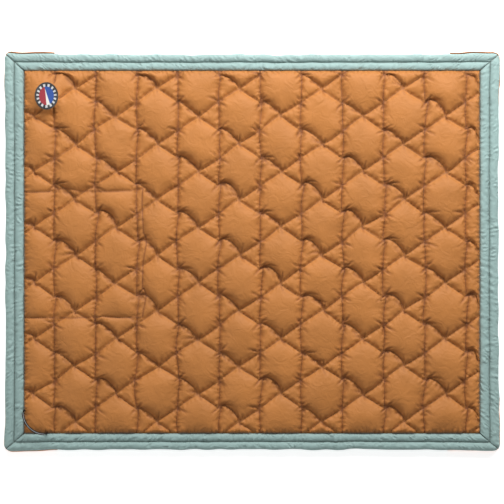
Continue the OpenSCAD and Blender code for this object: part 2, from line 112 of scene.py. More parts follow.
@dataclass(frozen=True)
class QuiltLattice:
    """Three families of seams that cut the cloth into hexagons and small triangles.

    Attributes:
        pitch_x: Distance between the straight seams.
        pitch_y: Distance along Y between slanted seams of one family.
        shift_x: Place of one straight seam.
        shift_y: Place of one crossing beside it.
        pinch: How far a gathered seam is drawn up into the puff above it.
    """

    pitch_x: float = 0.144
    pitch_y: float = 0.1945
    shift_x: float = 0.028
    shift_y: float = 0.086
    pinch: float = 0.036

    @property
    def slope(self) -> float:
        """Rise of a slanted seam."""
        return self.pitch_y / (2 * self.pitch_x)

    @property
    def lean(self) -> float:
        """Cosine of a slanted seam's angle."""
        return 1 / math.hypot(1, self.slope)

    @staticmethod
    def _signed(value: Array, pitch: float) -> Array:
        """Distance to the nearest whole pitch, with its sign."""
        return (value + pitch / 2) % pitch - pitch / 2

    def distances(self, x: Array, y: Array) -> tuple[Array, Array, Array]:
        """Distances to the nearest straight, rising and falling seam.

        Args:
            x: Places along X.
            y: Places along Y.

        Returns:
            Three distances for each place.
        """
        run = x - self.shift_x - self.pitch_x / 2
        straight = np.abs(self._signed(x - self.shift_x, self.pitch_x))
        rising = np.abs(self._signed(y - self.shift_y - self.slope * run, self.pitch_y)) * self.lean
        falling = np.abs(self._signed(y - self.shift_y + self.slope * run, self.pitch_y)) * self.lean
        return straight, rising, falling

    def crossing(self, x: Array, y: Array) -> Array:
        """Rough distance to the nearest crossing of two seams."""
        a, b, c = self.distances(x, y)
        return np.minimum(np.hypot(a, b), np.minimum(np.hypot(a, c), np.hypot(b, c)))

    def along(self, x: Array, y: Array) -> Array:
        """Place along the nearest seam, measured on that seam's own line.

        Args:
            x: Places along X.
            y: Places along Y.

        Returns:
            One length for each place.
        """
        nearest = np.argmin(np.stack(self.distances(x, y)), axis=0)
        rise = self.slope * self.lean
        return np.where(nearest == 0, y, x * self.lean + np.where(nearest == 1, y, -y) * rise)

    def puffs(self, x: Array, y: Array, step: tuple[int, int] = (0, 0)) -> tuple[Array, Array, Array, Array]:
        """The hexagon that holds each place, or one of its neighbours.

        Args:
            x: Places along X.
            y: Places along Y.
            step: Columns and rows away from the place's own hexagon.

        Returns:
            The place from the hexagon's middle along X and Y, and its column and row.
        """
        column = np.floor((x - self.shift_x) / self.pitch_x) + step[0]
        middle_x = self.shift_x + (column + 0.5) * self.pitch_x
        first = self.shift_y + np.where(column % 2 == 0, 0.5, 1.0) * self.pitch_y
        row = np.round((y - first) / self.pitch_y) + step[1]
        return x - middle_x, y - first - row * self.pitch_y, column, row

    def in_hexagon(self, x: Array, y: Array) -> Array:
        """Whether each place lies in a hexagon rather than in a small triangle."""
        u, v, _, _ = self.puffs(x, y)
        return np.abs(v) < self.pitch_y / 2 - self.slope * np.abs(u)

    def pinch_shift(self, x: Array, y: Array) -> tuple[Array, Array]:
        """How far the gathers draw each place sideways at the lower left seam of each puff.

        Args:
            x: Places along X.
            y: Places along Y.

        Returns:
            The shifts along X and Y.
        """
        edge_x, edge_y = self.pitch_x / 2, -self.pitch_y / 4
        length = math.hypot(edge_x, edge_y)
        tx, ty = edge_x / length, edge_y / length
        best = np.zeros_like(x, dtype=float)
        for du in (-1, 0, 1):
            for dv in (-1, 0, 1):
                u, v, column, row = self.puffs(x, y, (du, dv))
                a, b = u + self.pitch_x / 2, v + self.pitch_y / 4
                t = (a * tx + b * ty) / length
                off = b * tx - a * ty
                inside = (t > 0) & (t < 1)
                t = np.clip(t, 1e-6, 1 - 1e-6)
                hump = 1.55 * t ** 0.42 * (1 - t) ** 0.62
                reach = np.where(off > 0, 0.038, 0.030)
                size = 0.25 + 0.75 * scatter(column, row, 3)
                value = np.where(inside, size * hump * np.exp(-(off / reach) ** 2), 0)
                best = np.maximum(best, value)
        return -best * ty * self.pinch, best * tx * self.pinch

    def lines(self, half_x: float, half_y: float) -> Iterable[tuple[Vector, Vector]]:
        """Every seam inside a panel.

        Args:
            half_x: Half the panel's length.
            half_y: Half the panel's width.

        Yields:
            The two ends of each seam.
        """
        first = math.ceil((-half_x - self.shift_x) / self.pitch_x)
        last = math.floor((half_x - self.shift_x) / self.pitch_x)
        for k in range(first, last + 1):
            x = self.shift_x + k * self.pitch_x
            yield Vector((x, -half_y, 0)), Vector((x, half_y, 0))
        centre = self.shift_x + self.pitch_x / 2
        span = math.ceil((half_y + half_x * self.slope) / self.pitch_y) + 1
        for sign in (1, -1):
            for k in range(-span, span + 1):
                y0 = self.shift_y + k * self.pitch_y
                ends = sorted(centre + sign * (y - y0) / self.slope for y in (-half_y, half_y))
                x1, x2 = max(-half_x, ends[0]), min(half_x, ends[1])
                if x2 - x1 > 0.01:
                    yield tuple(Vector((x, y0 + sign * self.slope * (x - centre), 0)) for x in (x1, x2))


# ---------------------------------------------------------------- finishes


class Shader:
    """A small builder of one node material."""

    def __init__(self, name: str, roughness: float) -> None:
        """Starts a material with one principled shader.

        Args:
            name: The material's name.
            roughness: The shader's roughness.
        """
        self.material = bpy.data.materials.new(name)
        self.material.use_nodes = True
        self.nodes = self.material.node_tree.nodes
        self.links = self.material.node_tree.links
        self.surface = self.nodes["Principled BSDF"]
        self.surface.inputs["Roughness"].default_value = roughness
        self.place = self.nodes.new("ShaderNodeTexCoord").outputs["Object"]
        self.normal = None

    def add(self, kind: str, settings: dict | None = None, **inputs) -> bpy.types.Node:
        """Adds a node.

        Args:
            kind: The node's type, without its prefix.
            settings: Properties of the node.
            **inputs: Values or sockets for its inputs, with _ for a space.

        Returns:
            The new node.
        """
        node = self.nodes.new("ShaderNode" + kind)
        for key, value in (settings or {}).items():
            setattr(node, key, value)
        for key, value in inputs.items():
            numbered = key[0] == "i" and key[1:].isdigit()
            socket = node.inputs[int(key[1:]) if numbered else key.replace("_", " ")]
            if isinstance(value, bpy.types.NodeSocket):
                self.links.new(value, socket)
            else:
                socket.default_value = value
        return node

    def tones(self, factor: bpy.types.NodeSocket, tones: list[tuple[float, tuple]]) -> bpy.types.NodeSocket:
        """Spreads a factor over a few tones.

        Args:
            factor: The socket that chooses the tone.
            tones: Places and linear colours.

        Returns:
            The colour socket.
        """
        ramp = self.add("ValToRGB", Fac=factor)
        bands = ramp.color_ramp.elements
        while len(bands) < len(tones):
            bands.new(0.5)
        for band, (place, colour) in zip(bands, tones):
            band.position = place
            band.color = (*colour, 1)
        return ramp.outputs["Color"]

    def colour(self, socket: bpy.types.NodeSocket) -> None:
        """Uses a socket as the base colour."""
        self.links.new(socket, self.surface.inputs["Base Color"])

    def relief(self, height: bpy.types.NodeSocket, strength: float, depth: float) -> None:
        """Adds relief on top of what is there.

        Args:
            height: The socket that gives the height.
            strength: How strong the relief is.
            depth: Its depth.
        """
        bump = self.add("Bump", Strength=strength, Distance=depth, Height=height)
        if self.normal is not None:
            self.links.new(self.normal, bump.inputs["Normal"])
        self.normal = bump.outputs["Normal"]
        self.links.new(self.normal, self.surface.inputs["Normal"])

    def weave(self, thread: float, angle: float = 0.0) -> bpy.types.NodeSocket:
        """A plain weave of crossing threads.

        Args:
            thread: Distance between threads.
            angle: Turn of the weave about Z.

        Returns:
            The height socket.
        """
        turned = self.add("Mapping", Vector=self.place, Rotation=(0, 0, angle)).outputs["Vector"]
        waves = []
        for axis in ("X", "Y"):
            settings = {"wave_type": "BANDS", "bands_direction": axis, "wave_profile": "SIN"}
            scale = 1 / (thread * 20)
            wave = self.add("TexWave", settings, Vector=turned, Scale=scale * 2 * math.pi)
            waves.append(wave.outputs["Fac"])
        return self.add("Math", {"operation": "MULTIPLY"}, i0=waves[0], i1=waves[1]).outputs["Value"]


def scaled(colour: tuple, factor: float) -> tuple:
    """A colour made lighter or darker."""
    return tuple(min(1.0, c * factor) for c in colour)


@dataclass(frozen=True)
class ShellCloth:
    """Light woven nylon with a soft sheen and painted shade in its creases.

    Attributes:
        name: The material's name.
        tone: Its linear colour.
        spread: How far the tone varies.
        thread: Distance between its threads.
        shade: Share of its tone left at the bottom of a crease, as painted shade.
        RELIEFS: Scale, detail, distortion, strength and depth of its broad and fine folds.
    """

    RELIEFS: ClassVar[tuple] = ((24.0, 3.0, 1.8, 0.6, 0.0050), (75.0, 4.0, 0.6, 0.35, 0.0014))

    name: str
    tone: tuple
    spread: float = 0.07
    thread: float = 0.0006
    shade: float = 0.45

    def material(self) -> bpy.types.Material:
        """Makes the finish's material."""
        s = Shader(self.name, 0.62)
        patch = s.add("TexNoise", Vector=s.place, Scale=7.0, Detail=3.0, Roughness=0.6).outputs["Fac"]
        dark, light = scaled(self.tone, 1 - self.spread), scaled(self.tone, 1 + self.spread)
        tones = [(0.3, dark), (0.5, self.tone), (0.7, light)]
        cloth = s.tones(patch, tones)
        # Painted shade: the crease attribute darkens the cloth's colour towards a deeper, redder tone along
        # seams and creases, where shade falls.
        crease = s.add("Attribute", {"attribute_name": "crease"}).outputs["Fac"]
        painted_shade_tone = (self.shade, self.shade ** 1.3, self.shade ** 1.4)
        left = s.tones(crease, [(0.0, (1, 1, 1)), (1.0, painted_shade_tone)])
        mixed = s.add("MixRGB", {"blend_type": "MULTIPLY"}, Fac=1.0, Color1=cloth, Color2=left)
        s.colour(mixed.outputs["Color"])
        for scale, detail, distortion, strength, depth in self.RELIEFS:
            fold = s.add(
                "TexNoise", Vector=s.place, Scale=scale, Detail=detail,
                Roughness=0.55, Distortion=distortion,
            )
            s.relief(fold.outputs["Fac"], strength, depth)
        s.relief(s.weave(self.thread), 0.12, 0.00012)
        s.surface.inputs["Sheen Weight"].default_value = 0.14
        s.surface.inputs["Sheen Roughness"].default_value = 0.45
        s.surface.inputs["Specular IOR Level"].default_value = 0.35
        return s.material


@dataclass(frozen=True)
class ThreadFinish:
    """Twisted sewing thread, seen as fine slanted ribs, with painted shade in their grooves and painted
    highlight on their crests.

    Attributes:
        name: The material's name.
        tone: Its linear colour.
    """

    name: str
    tone: tuple

    def material(self) -> bpy.types.Material:
        """Makes the finish's material."""
        s = Shader(self.name, 0.7)
        turned = s.add("Mapping", Vector=s.place, Rotation=(0, 0, 0.7)).outputs["Vector"]
        ribs = s.add("TexWave", {"bands_direction": "X"}, Vector=turned, Scale=700.0).outputs["Fac"]
        # Painted shade and highlight: the colour follows the ribs, darker in their grooves and lighter on
        # their crests.
        s.colour(s.tones(ribs, [(0.0, scaled(self.tone, 0.7)), (1.0, scaled(self.tone, 1.15))]))
        s.relief(ribs, 0.4, 0.0002)
        s.surface.inputs["Sheen Weight"].default_value = 0.3
        return s.material


class Ribs(Enum):
    """The way a band of satin stitches or tape ribs runs."""

    ALONG_X = "X"
    ALONG_Y = "Y"
    RADIAL = "R"


@dataclass(frozen=True)
class StitchedFinish:
    """Close satin stitching or ribbed tape.

    Attributes:
        name: The material's name.
        tone: Its linear colour.
        ribs: The way its ribs run.
        pitch: Distance between ribs.
        centre: Point that radial ribs turn about.
        ground: Linear colour between dashes, for a band of dashes.
        dashes: How many dashes go round.
        sheen: Strength of its sheen and, with it, of its highlights.
    """

    name: str
    tone: tuple
    ribs: Ribs = Ribs.ALONG_X
    pitch: float = 0.0011
    centre: tuple = (0.0, 0.0, 0.0)
    ground: tuple | None = None
    dashes: float = 15.0
    sheen: float = 0.25

    def material(self) -> bpy.types.Material:
        """Makes the finish's material."""
        s = Shader(self.name, 0.55)
        if self.ribs is Ribs.RADIAL:
            back = tuple(-c for c in self.centre)
            moved = s.add("Mapping", Vector=s.place, Location=back).outputs["Vector"]
            parts = s.add("SeparateXYZ", Vector=moved).outputs
            turn = s.add("Math", {"operation": "ARCTAN2"}, i0=parts["Y"], i1=parts["X"]).outputs["Value"]
            wave = s.add("Math", {"operation": "MULTIPLY"}, i0=turn, i1=240.0).outputs["Value"]
            height = s.add("Math", {"operation": "SINE"}, i0=wave).outputs["Value"]
        else:
            direction = {"bands_direction": "Y" if self.ribs is Ribs.ALONG_X else "X"}
            rate = math.pi / (10 * self.pitch)
            height = s.add("TexWave", direction, Vector=s.place, Scale=rate).outputs["Fac"]
        fleck = s.add("TexNoise", Vector=s.place, Scale=900.0, Detail=2.0).outputs["Fac"]
        cloth = s.tones(fleck, [(0.25, scaled(self.tone, 0.75)), (0.75, scaled(self.tone, 1.2))])
        if self.ground and self.ribs is Ribs.RADIAL:
            beat = s.add("Math", {"operation": "MULTIPLY"}, i0=turn, i1=self.dashes).outputs["Value"]
            mark = s.add("Math", {"operation": "SINE"}, i0=beat).outputs["Value"]
            shown_share = s.tones(mark, [(0.0, (0, 0, 0)), (0.12, (1, 1, 1))])
            cloth = s.add("MixRGB", Fac=shown_share, Color1=(*self.ground, 1), Color2=cloth).outputs["Color"]
        s.colour(cloth)
        s.relief(height, 0.5, 0.0004)
        s.surface.inputs["Sheen Weight"].default_value = self.sheen
        s.surface.inputs["Specular IOR Level"].default_value = 2 * self.sheen
        return s.material


@dataclass(frozen=True)
class MetalFinish:
    """Plated metal, brushed and a little worn.

    Attributes:
        name: The material's name.
        tone: Its linear colour.
    """

    name: str = "satin_zip_metal"
    tone: tuple = (0.42, 0.42, 0.44)

    def material(self) -> bpy.types.Material:
        """Makes the finish's material."""
        s = Shader(self.name, 0.34)
        s.surface.inputs["Metallic"].default_value = 1.0
        brush = s.add("Mapping", Vector=s.place, Scale=(1, 30, 1)).outputs["Vector"]
        grain = s.add("TexNoise", Vector=brush, Scale=400.0, Detail=3.0).outputs["Fac"]
        s.colour(s.tones(grain, [(0.3, scaled(self.tone, 0.8)), (0.7, scaled(self.tone, 1.2))]))
        s.relief(grain, 0.2, 0.00008)
        return s.material


@dataclass(frozen=True)
class CoilFinish:
    """Smooth dark nylon filament.

    Attributes:
        name: The material's name.
        tone: Its linear colour.
    """

    name: str = "zip_filament"
    tone: tuple = (0.012, 0.013, 0.015)

    def material(self) -> bpy.types.Material:
        """Makes the finish's material."""
        s = Shader(self.name, 0.38)
        cloud = s.add("TexNoise", Vector=s.place, Scale=300.0, Detail=2.0).outputs["Fac"]
        s.colour(s.tones(cloud, [(0.3, self.tone), (0.7, scaled(self.tone, 2.0))]))
        s.relief(cloud, 0.15, 0.00006)
        return s.material


RUST = (0.418, 0.157, 0.0325)
TEAL = (0.262, 0.375, 0.357)


# ---------------------------------------------------------------- meshes and cloth


def points(mesh: bpy.types.Mesh) -> Array:
    """The mesh's places as an array.

    Args:
        mesh: The mesh.

    Returns:
        One row for each vertex.
    """
    flat = np.zeros(len(mesh.vertices) * 3, np.float32)
    mesh.vertices.foreach_get("co", flat)
    return flat.reshape(-1, 3).astype(float)


def paint_crease_shade(mesh: bpy.types.Mesh, depth: Array) -> None:
    """Stores how deep each place lies in a crease, which the cloth's finish paints darker as painted shade.

    Args:
        mesh: The mesh.
        depth: From 0 to 1 for each vertex.
    """
    store = mesh.attributes.new("crease", "FLOAT", "POINT")
    store.data.foreach_set("value", np.clip(depth, 0, 1).astype(np.float32))


def put_points(mesh: bpy.types.Mesh, places: Array) -> None:
    """Writes places back to a mesh.

    Args:
        mesh: The mesh to write to.
        places: One row for each vertex.
    """
    mesh.vertices.foreach_set("co", places.astype(np.float32).ravel())
    mesh.update()


def finished(name: str, shape: bmesh.types.BMesh, finish: bpy.types.Material) -> bpy.types.Object:
    """Makes a smooth-shaded object from a bmesh.

    Args:
        name: The piece's name.
        shape: The bmesh, which is freed.
        finish: The piece's material.

    Returns:
        The new object.
    """
    mesh = bpy.data.meshes.new(name)
    shape.to_mesh(mesh)
    shape.free()
    return shown(name, mesh, finish)


def shown(name: str, mesh: bpy.types.Mesh, finish: bpy.types.Material) -> bpy.types.Object:
    """Puts a mesh in the scene, smooth-shaded.

    Args:
        name: The piece's name.
        mesh: Its mesh.
        finish: Its material.

    Returns:
        The new object.
    """
    mesh.name = name
    mesh.polygons.foreach_set("use_smooth", [True] * len(mesh.polygons))
    mesh.materials.clear()
    mesh.materials.append(finish)
    piece = bpy.data.objects.new(name, mesh)
    bpy.context.scene.collection.objects.link(piece)
    return piece


def lined(piece: bpy.types.Object, thickness: float = 0.0006, offset: float = -1.0) -> None:
    """Gives a sheet its thickness.

    Args:
        piece: The piece.
        thickness: Thickness of the cloth.
        offset: Which way it grows, -1 inwards.
    """
    wall = piece.modifiers.new("cloth", "SOLIDIFY")
    wall.thickness = thickness
    wall.offset = offset


def subdivided(piece: bpy.types.Object, levels: int = 1) -> None:
    """Adds a subdivision surface to a piece.

    Args:
        piece: The piece.
        levels: Its levels, the same in view and render.
    """
    smooth = piece.modifiers.new("smooth", "SUBSURF")
    smooth.levels = smooth.render_levels = levels


def repeated(shape: bmesh.types.BMesh, count: int) -> tuple[bpy.types.Mesh, Array]:
    """Copies a small shape many times over, each copy still in the same place.

    Args:
        shape: The bmesh, which is freed.
        count: How many copies.

    Returns:
        The mesh of all the copies, and its places with one block a copy.
    """
    mesh = bpy.data.meshes.new("one")
    shape.to_mesh(mesh)
    shape.free()
    one = bpy.data.objects.new("one", mesh)
    bpy.context.scene.collection.objects.link(one)
    array = one.modifiers.new("copies", "ARRAY")
    array.count = count
    array.use_relative_offset = False
    array.use_constant_offset = True
    array.constant_offset_displace = (0, 0, 0)
    copies = bpy.data.meshes.new_from_object(one.evaluated_get(bpy.context.evaluated_depsgraph_get()))
    size = len(mesh.vertices)
    bpy.data.objects.remove(one)
    bpy.data.meshes.remove(mesh)
    return copies, points(copies).reshape(count, size, 3)


@dataclass(frozen=True)
class ClothRun:
    """One short cloth simulation: stuffed cloth that settles between its seams.

    Attributes:
        frames: How many frames it runs.
        push: Pressure of the stuffing.
        fullness: Share of spare length in the cloth at its fullest.
        bending: How stiff the cloth is against bending.
        passes: Passes of smoothing in the middle of the puffs.
    """

    frames: int = 12
    push: float = 20.0
    fullness: float = 0.25
    bending: float = 1.0
    passes: int = 14

    def settle(self, piece: bpy.types.Object, held: Array, spare: Array) -> None:
        """Runs the cloth and applies what it makes.

        Args:
            piece: The piece, whose mesh is replaced.
            held: True for each vertex that a seam holds.
            spare: From 0 to 1, where the spare length lies.
        """
        pinned = piece.vertex_groups.new(name="held")
        pinned.add([int(k) for k in np.nonzero(held)[0]], 1.0, "REPLACE")
        loose = piece.vertex_groups.new(name="spare")
        for k, weight in enumerate(spare):
            loose.add([k], float(weight), "REPLACE")
        cloth = piece.modifiers.new("cloth", "CLOTH")
        use = cloth.settings
        use.quality = 5
        use.mass = 0.003
        use.tension_stiffness = 40
        use.compression_stiffness = 20
        use.shear_stiffness = 10
        use.bending_stiffness = self.bending
        use.tension_damping = use.compression_damping = use.shear_damping = 5
        use.vertex_group_mass = pinned.name
        use.vertex_group_shrink = loose.name
        use.shrink_min = 0.0
        use.shrink_max = -self.fullness
        use.use_pressure = True
        use.uniform_pressure_force = self.push
        use.effector_weights.gravity = 0.0
        cloth.collision_settings.use_collision = False
        cloth.collision_settings.use_self_collision = False
        cloth.point_cache.frame_start = 1
        cloth.point_cache.frame_end = self.frames
        scene = bpy.context.scene
        for step in range(1, self.frames + 1):
            scene.frame_set(step)
        settled = piece.evaluated_get(bpy.context.evaluated_depsgraph_get())
        places = points(settled.data)
        piece.modifiers.remove(cloth)
        piece.vertex_groups.clear()
        scene.frame_set(1)
        put_points(piece.data, places)


def smoothed(mesh: bpy.types.Mesh, weight: Array, passes: int) -> None:
    """Smooths a mesh where a weight asks for it.

    Args:
        mesh: The mesh.
        weight: From 0 to 1 for each vertex.
        passes: How often it is smoothed.
    """
    edges = np.zeros(len(mesh.edges) * 2, np.int32)
    mesh.edges.foreach_get("vertices", edges)
    a, b = edges.reshape(-1, 2).T
    places = points(mesh)
    count = len(places)
    degree = np.maximum(1, np.bincount(a, minlength=count) + np.bincount(b, minlength=count))
    for _ in range(passes):
        near = np.zeros_like(places)
        for k in range(3):
            near[:, k] = np.bincount(a, places[b, k], count) + np.bincount(b, places[a, k], count)
        places += weight[:, None] * (near / degree[:, None] - places)
    put_points(mesh, places)


# ---------------------------------------------------------------- the blanket's sizes


@dataclass(frozen=True)
class BlanketSizes:
    """Sizes that several pieces share, read from the frame.

    Attributes:
        half_x: Half the quilted panel's length.
        half_y: Half the quilted panel's width.
        out_x: Half the length of the border's outer edge.
        out_y: Half the width of the border's outer edge.
        corner_r: Radius of the border's outer corners.
        pull_x: How far the middle of a short side draws in.
        pull_y: How far the middle of a long side draws in.
        flare: How far the corners stand out.
    """

    half_x: float
    half_y: float
    out_x: float
    out_y: float
    corner_r: float = 0.020
    pull_x: float = 0.0020
    pull_y: float = 0.0018
    flare: float = 0.0035

    @classmethod
    def from_frame(cls) -> "BlanketSizes":
        """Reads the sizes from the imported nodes."""
        face, left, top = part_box("face_panel"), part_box("border_left"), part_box("border_top")
        return cls(face[1][0], face[1][1], -left[0][0], top[1][1])

    def edge_shift(self, x: Array, y: Array) -> tuple[Array, Array]:
        """How the outer edge leaves the straight rectangle.

        Args:
            x: Places along X.
            y: Places along Y.

        Returns:
            The shifts along X and Y at full strength.
        """
        far_x, far_y = np.abs(x / self.out_x), np.abs(y / self.out_y)
        across_x = np.sign(x) * (self.flare * far_y ** 6 - self.pull_x * (1 - far_y ** 3))
        across_y = np.sign(y) * (self.flare * far_x ** 6 - self.pull_y * (1 - far_x ** 3))
        across_x = across_x + 0.0011 * ripple(y, np.sign(x), 0.11, 21)
        across_y = across_y + 0.0011 * ripple(x, np.sign(y), 0.11, 22)
        return across_x, across_y

    def rounded(self, x: Array, y: Array) -> tuple[Array, Array]:
        """Places with the outer corners rounded.

        Args:
            x: Places along X, to the border's outer edge.
            y: Places along Y.

        Returns:
            The new places along X and Y.
        """
        r = self.corner_r
        u, v = np.abs(x) - (self.out_x - r), np.abs(y) - (self.out_y - r)
        both = (u > 0) & (v > 0)
        square = np.maximum(np.maximum(u, v), 1e-9)
        length = np.maximum(np.hypot(u, v), 1e-9)
        keep = np.where(both, square / length, 1.0)
        return (
            np.where(both, np.sign(x) * (self.out_x - r + u * keep), x),
            np.where(both, np.sign(y) * (self.out_y - r + v * keep), y),
        )


# ---------------------------------------------------------------- quilted panel


def lattice_grid(lattice: QuiltLattice, sizes: BlanketSizes, steps: int) -> bmesh.types.BMesh:
    """A flat triangulated sheet whose edges follow every seam.

    Args:
        lattice: The seams.
        sizes: The blanket's shared sizes.
        steps: Cells to half a pitch.

    Returns:
        The bmesh.
    """
    hx, hy = lattice.pitch_x / 2 / steps, lattice.pitch_y / 2 / steps
    i0, i1 = (round((s * sizes.half_x - lattice.shift_x) / hx) for s in (-1, 1))
    j0, j1 = (round((s * sizes.half_y - lattice.shift_y) / hy) for s in (-1, 1))
    shape = bmesh.new()
    bmesh.ops.create_grid(shape, x_segments=i1 - i0, y_segments=j1 - j0, size=0.5)
    for vert in shape.verts:
        i = i0 + round((vert.co.x + 0.5) * (i1 - i0))
        j = j0 + round((vert.co.y + 0.5) * (j1 - j0))
        x = lattice.shift_x + i * hx
        y = lattice.shift_y + (j + 0.5 * (i % 2)) * hy
        x = -sizes.half_x if i == i0 else sizes.half_x if i == i1 else x
        y = -sizes.half_y if j == j0 else sizes.half_y if j == j1 else y
        vert.co = (x, y, 0)
    bmesh.ops.triangulate(shape, faces=shape.faces[:], quad_method="SHORT_EDGE")
    return shape


@dataclass
class QuiltedFace:
    """The rust face of the quilt with the loft under it.

    Attributes:
        sizes: The blanket's shared sizes.
        lattice: Its seams.
        steps: Cloth cells to half a pitch.
        flank: Distance from a seam over which a puff rises.
        pocket_dip: How far the pocket's seam stays up, from 0 at the seams to 1 at the crown.
        run: Its cloth simulation.
        CREASES: Place in its hexagon, heading and length of each short crease.
    """

    sizes: BlanketSizes
    lattice: QuiltLattice
    steps: int = 18
    flank: float = 0.062
    pocket_dip: float = 0.42
    run: ClothRun = field(default_factory=ClothRun)
    CREASES: ClassVar[tuple] = (
        (-0.5, -0.25, -0.30, 0.046), (-0.5, -0.25, 0.55, 0.036), (-0.5, -0.25, -1.25, 0.040),
        (-0.5, -0.25, 1.1, 0.030), (-0.32, -0.40, -0.41, 0.050), (-0.5, 0.25, -0.75, 0.040),
        (-0.5, 0.25, -1.3, 0.030), (-0.5, 0.25, 0.1, 0.026), (0.0, -0.5, 2.75, 0.046),
        (0.0, -0.5, 1.1, 0.032), (0.0, -0.5, 2.1, 0.028), (0.5, -0.25, 2.55, 0.040),
        (0.5, -0.25, 1.9, 0.030), (0.5, -0.25, -2.2, 0.030), (0.5, 0.25, -2.4, 0.034),
        (0.0, 0.5, -1.2, 0.030),
    )

    def pocket_box(self) -> tuple[float, float, float]:
        """The inner side and the two ends of the pocket's seam."""
        low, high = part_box("pocket_thread")
        return high[0], low[1], high[1]

    def seam_height(self, x: Array, y: Array) -> Array:
        """Height of the seams, which wander a little."""
        edge = np.clip(self.edge_distance(x, y) / 0.05, 0, 1)
        return SEAM_Z + 0.0013 * ripple(x, y, 0.13, 3) * edge

    def edge_distance(self, x: Array, y: Array) -> Array:
        """Distance to the panel's outer seam."""
        return np.minimum(self.sizes.half_x - np.abs(x), self.sizes.half_y - np.abs(y))

    def pocket_distance(self, x: Array, y: Array) -> Array:
        """Distance to the pocket's seam, which shows through the face.

        Args:
            x: Places along X.
            y: Places along Y.

        Returns:
            One distance for each place.
        """
        side, low, high = self.pocket_box()
        beyond_y = np.maximum(np.maximum(low - y, y - high), 0)
        beyond_x = np.maximum(x - side, 0)
        upright = np.hypot(x - side, beyond_y)
        level = np.minimum(np.hypot(y - low, beyond_x), np.hypot(y - high, beyond_x))
        return np.minimum(upright, level)

    def badge_reach(self, x: Array, y: Array) -> Array:
        """Place within the badge, 1 at its edge.

        Args:
            x: Places along X.
            y: Places along Y.

        Returns:
            One share for each place.
        """
        low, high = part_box("badge_backing")
        cx, cy = (low[0] + high[0]) / 2, (low[1] + high[1]) / 2
        return np.hypot((x - cx) / (high[0] - low[0]) * 2, (y - cy) / (high[1] - low[1]) * 2)

    def seam_distance(self, x: Array, y: Array) -> Array:
        """Distance to the nearest deep seam."""
        return np.minimum(np.minimum.reduce(self.lattice.distances(x, y)), self.edge_distance(x, y))

    def shift(self, x: Array, y: Array) -> tuple[Array, Array]:
        """How far the gathers draw the cloth sideways.

        Args:
            x: Places along X.
            y: Places along Y.

        Returns:
            The shifts along X and Y.
        """
        dx, dy = self.lattice.pinch_shift(x, y)
        dx, dy = dx + 0.0022 * ripple(x, y, 0.22, 91), dy + 0.0022 * ripple(x, y, 0.22, 92)
        keep = ease(self.edge_distance(x, y) / 0.035) * ease((self.badge_reach(x, y) - 0.95) / 0.4)
        return dx * keep, dy * keep

    def puff(self, x: Array, y: Array) -> Array:
        """Height of the puffs above their seams, before the cloth settles.

        Args:
            x: Places along X.
            y: Places along Y.

        Returns:
            One height for each place.
        """
        lattice = self.lattice
        lift = CROWN_Z - SEAM_Z - 0.002
        _, _, column, row = lattice.puffs(x, y)
        lift = lift * (0.9 + 0.1 * scatter(column, row, 6))
        d = self.seam_distance(x, y)
        crown = (1 - (1 - np.clip(d / self.flank, 0, 1)) ** 2) ** 0.9
        rise = 0.70 * crown + 0.30 * (1 - np.exp(-d / 0.0045))
        rise = rise * np.where(lattice.in_hexagon(x, y), 1.0, 0.72)
        pocket = self.pocket_distance(x, y)
        near = (1 - (1 - np.clip(pocket / 0.03, 0, 1)) ** 2) ** 0.75
        return lift * rise * (self.pocket_dip + (1 - self.pocket_dip) * near)

    def gathers(self, x: Array, y: Array) -> Array:
        """Small folds that run out from the seams, strongest at the crossings.

        Args:
            x: Places along X.
            y: Places along Y.

        Returns:
            From about -1 to 1 for each place.
        """
        lattice = self.lattice
        d = self.seam_distance(x, y)
        phase = 2 * math.pi * lattice.along(x, y) / 0.019 + 2.6 * ripple(x, y, 0.06, 11)
        near = np.exp(-(lattice.crossing(x, y) / 0.034) ** 2)
        straight = lattice.distances(x, y)[0] < d + 1e-6
        strength = np.where(straight, 0.75 + 0.5 * near, 0.15 + 0.9 * near)
        folds = np.cos(phase) * np.exp(-d / 0.015) * np.clip(d / 0.004, 0, 1) * strength
        edge = self.edge_distance(x, y)
        runs_y = self.sizes.half_x - np.abs(x) < self.sizes.half_y - np.abs(y)
        edge_phase = 2 * math.pi * np.where(runs_y, y, x) / 0.0145 + 2.4 * ripple(x, y, 0.05, 12)
        folds += 1.5 * np.cos(edge_phase) * np.exp(-edge / 0.017) * np.clip(edge / 0.004, 0, 1)
        return folds

    def creases(self, x: Array, y: Array) -> Array:
        """Depth of the short creases that fan out from the pinched corner of each puff.

        Args:
            x: Places along X.
            y: Places along Y.

        Returns:
            From 0 to 1 for each place.
        """
        lattice = self.lattice
        total = np.zeros_like(x)
        for du in (-1, 0, 1):
            for dv in (-1, 0, 1):
                u, v, column, row = lattice.puffs(x, y, (du, dv))
                for k, (corner_x, corner_y, heading, reach) in enumerate(self.CREASES):
                    lot = scatter(column, row, 40 + k)
                    lot2 = scatter(column, row, 50 + k)
                    turn = heading + 0.7 * (lot - 0.5)
                    a, b = u - corner_x * lattice.pitch_x, v - corner_y * lattice.pitch_y
                    s = a * np.cos(turn) + b * np.sin(turn)
                    t = b * np.cos(turn) - a * np.sin(turn) - 7.0 * (lot2 - 0.5) * s * np.abs(s)
                    length = reach * (0.7 + 0.6 * lot2)
                    along = np.clip(s / 0.004, 0, 1) * np.clip((length - s) / (0.6 * length), 0, 1)
                    total = np.maximum(total, along * np.exp(-(t / 0.0036) ** 2) * (0.35 + 0.65 * lot))
        return total

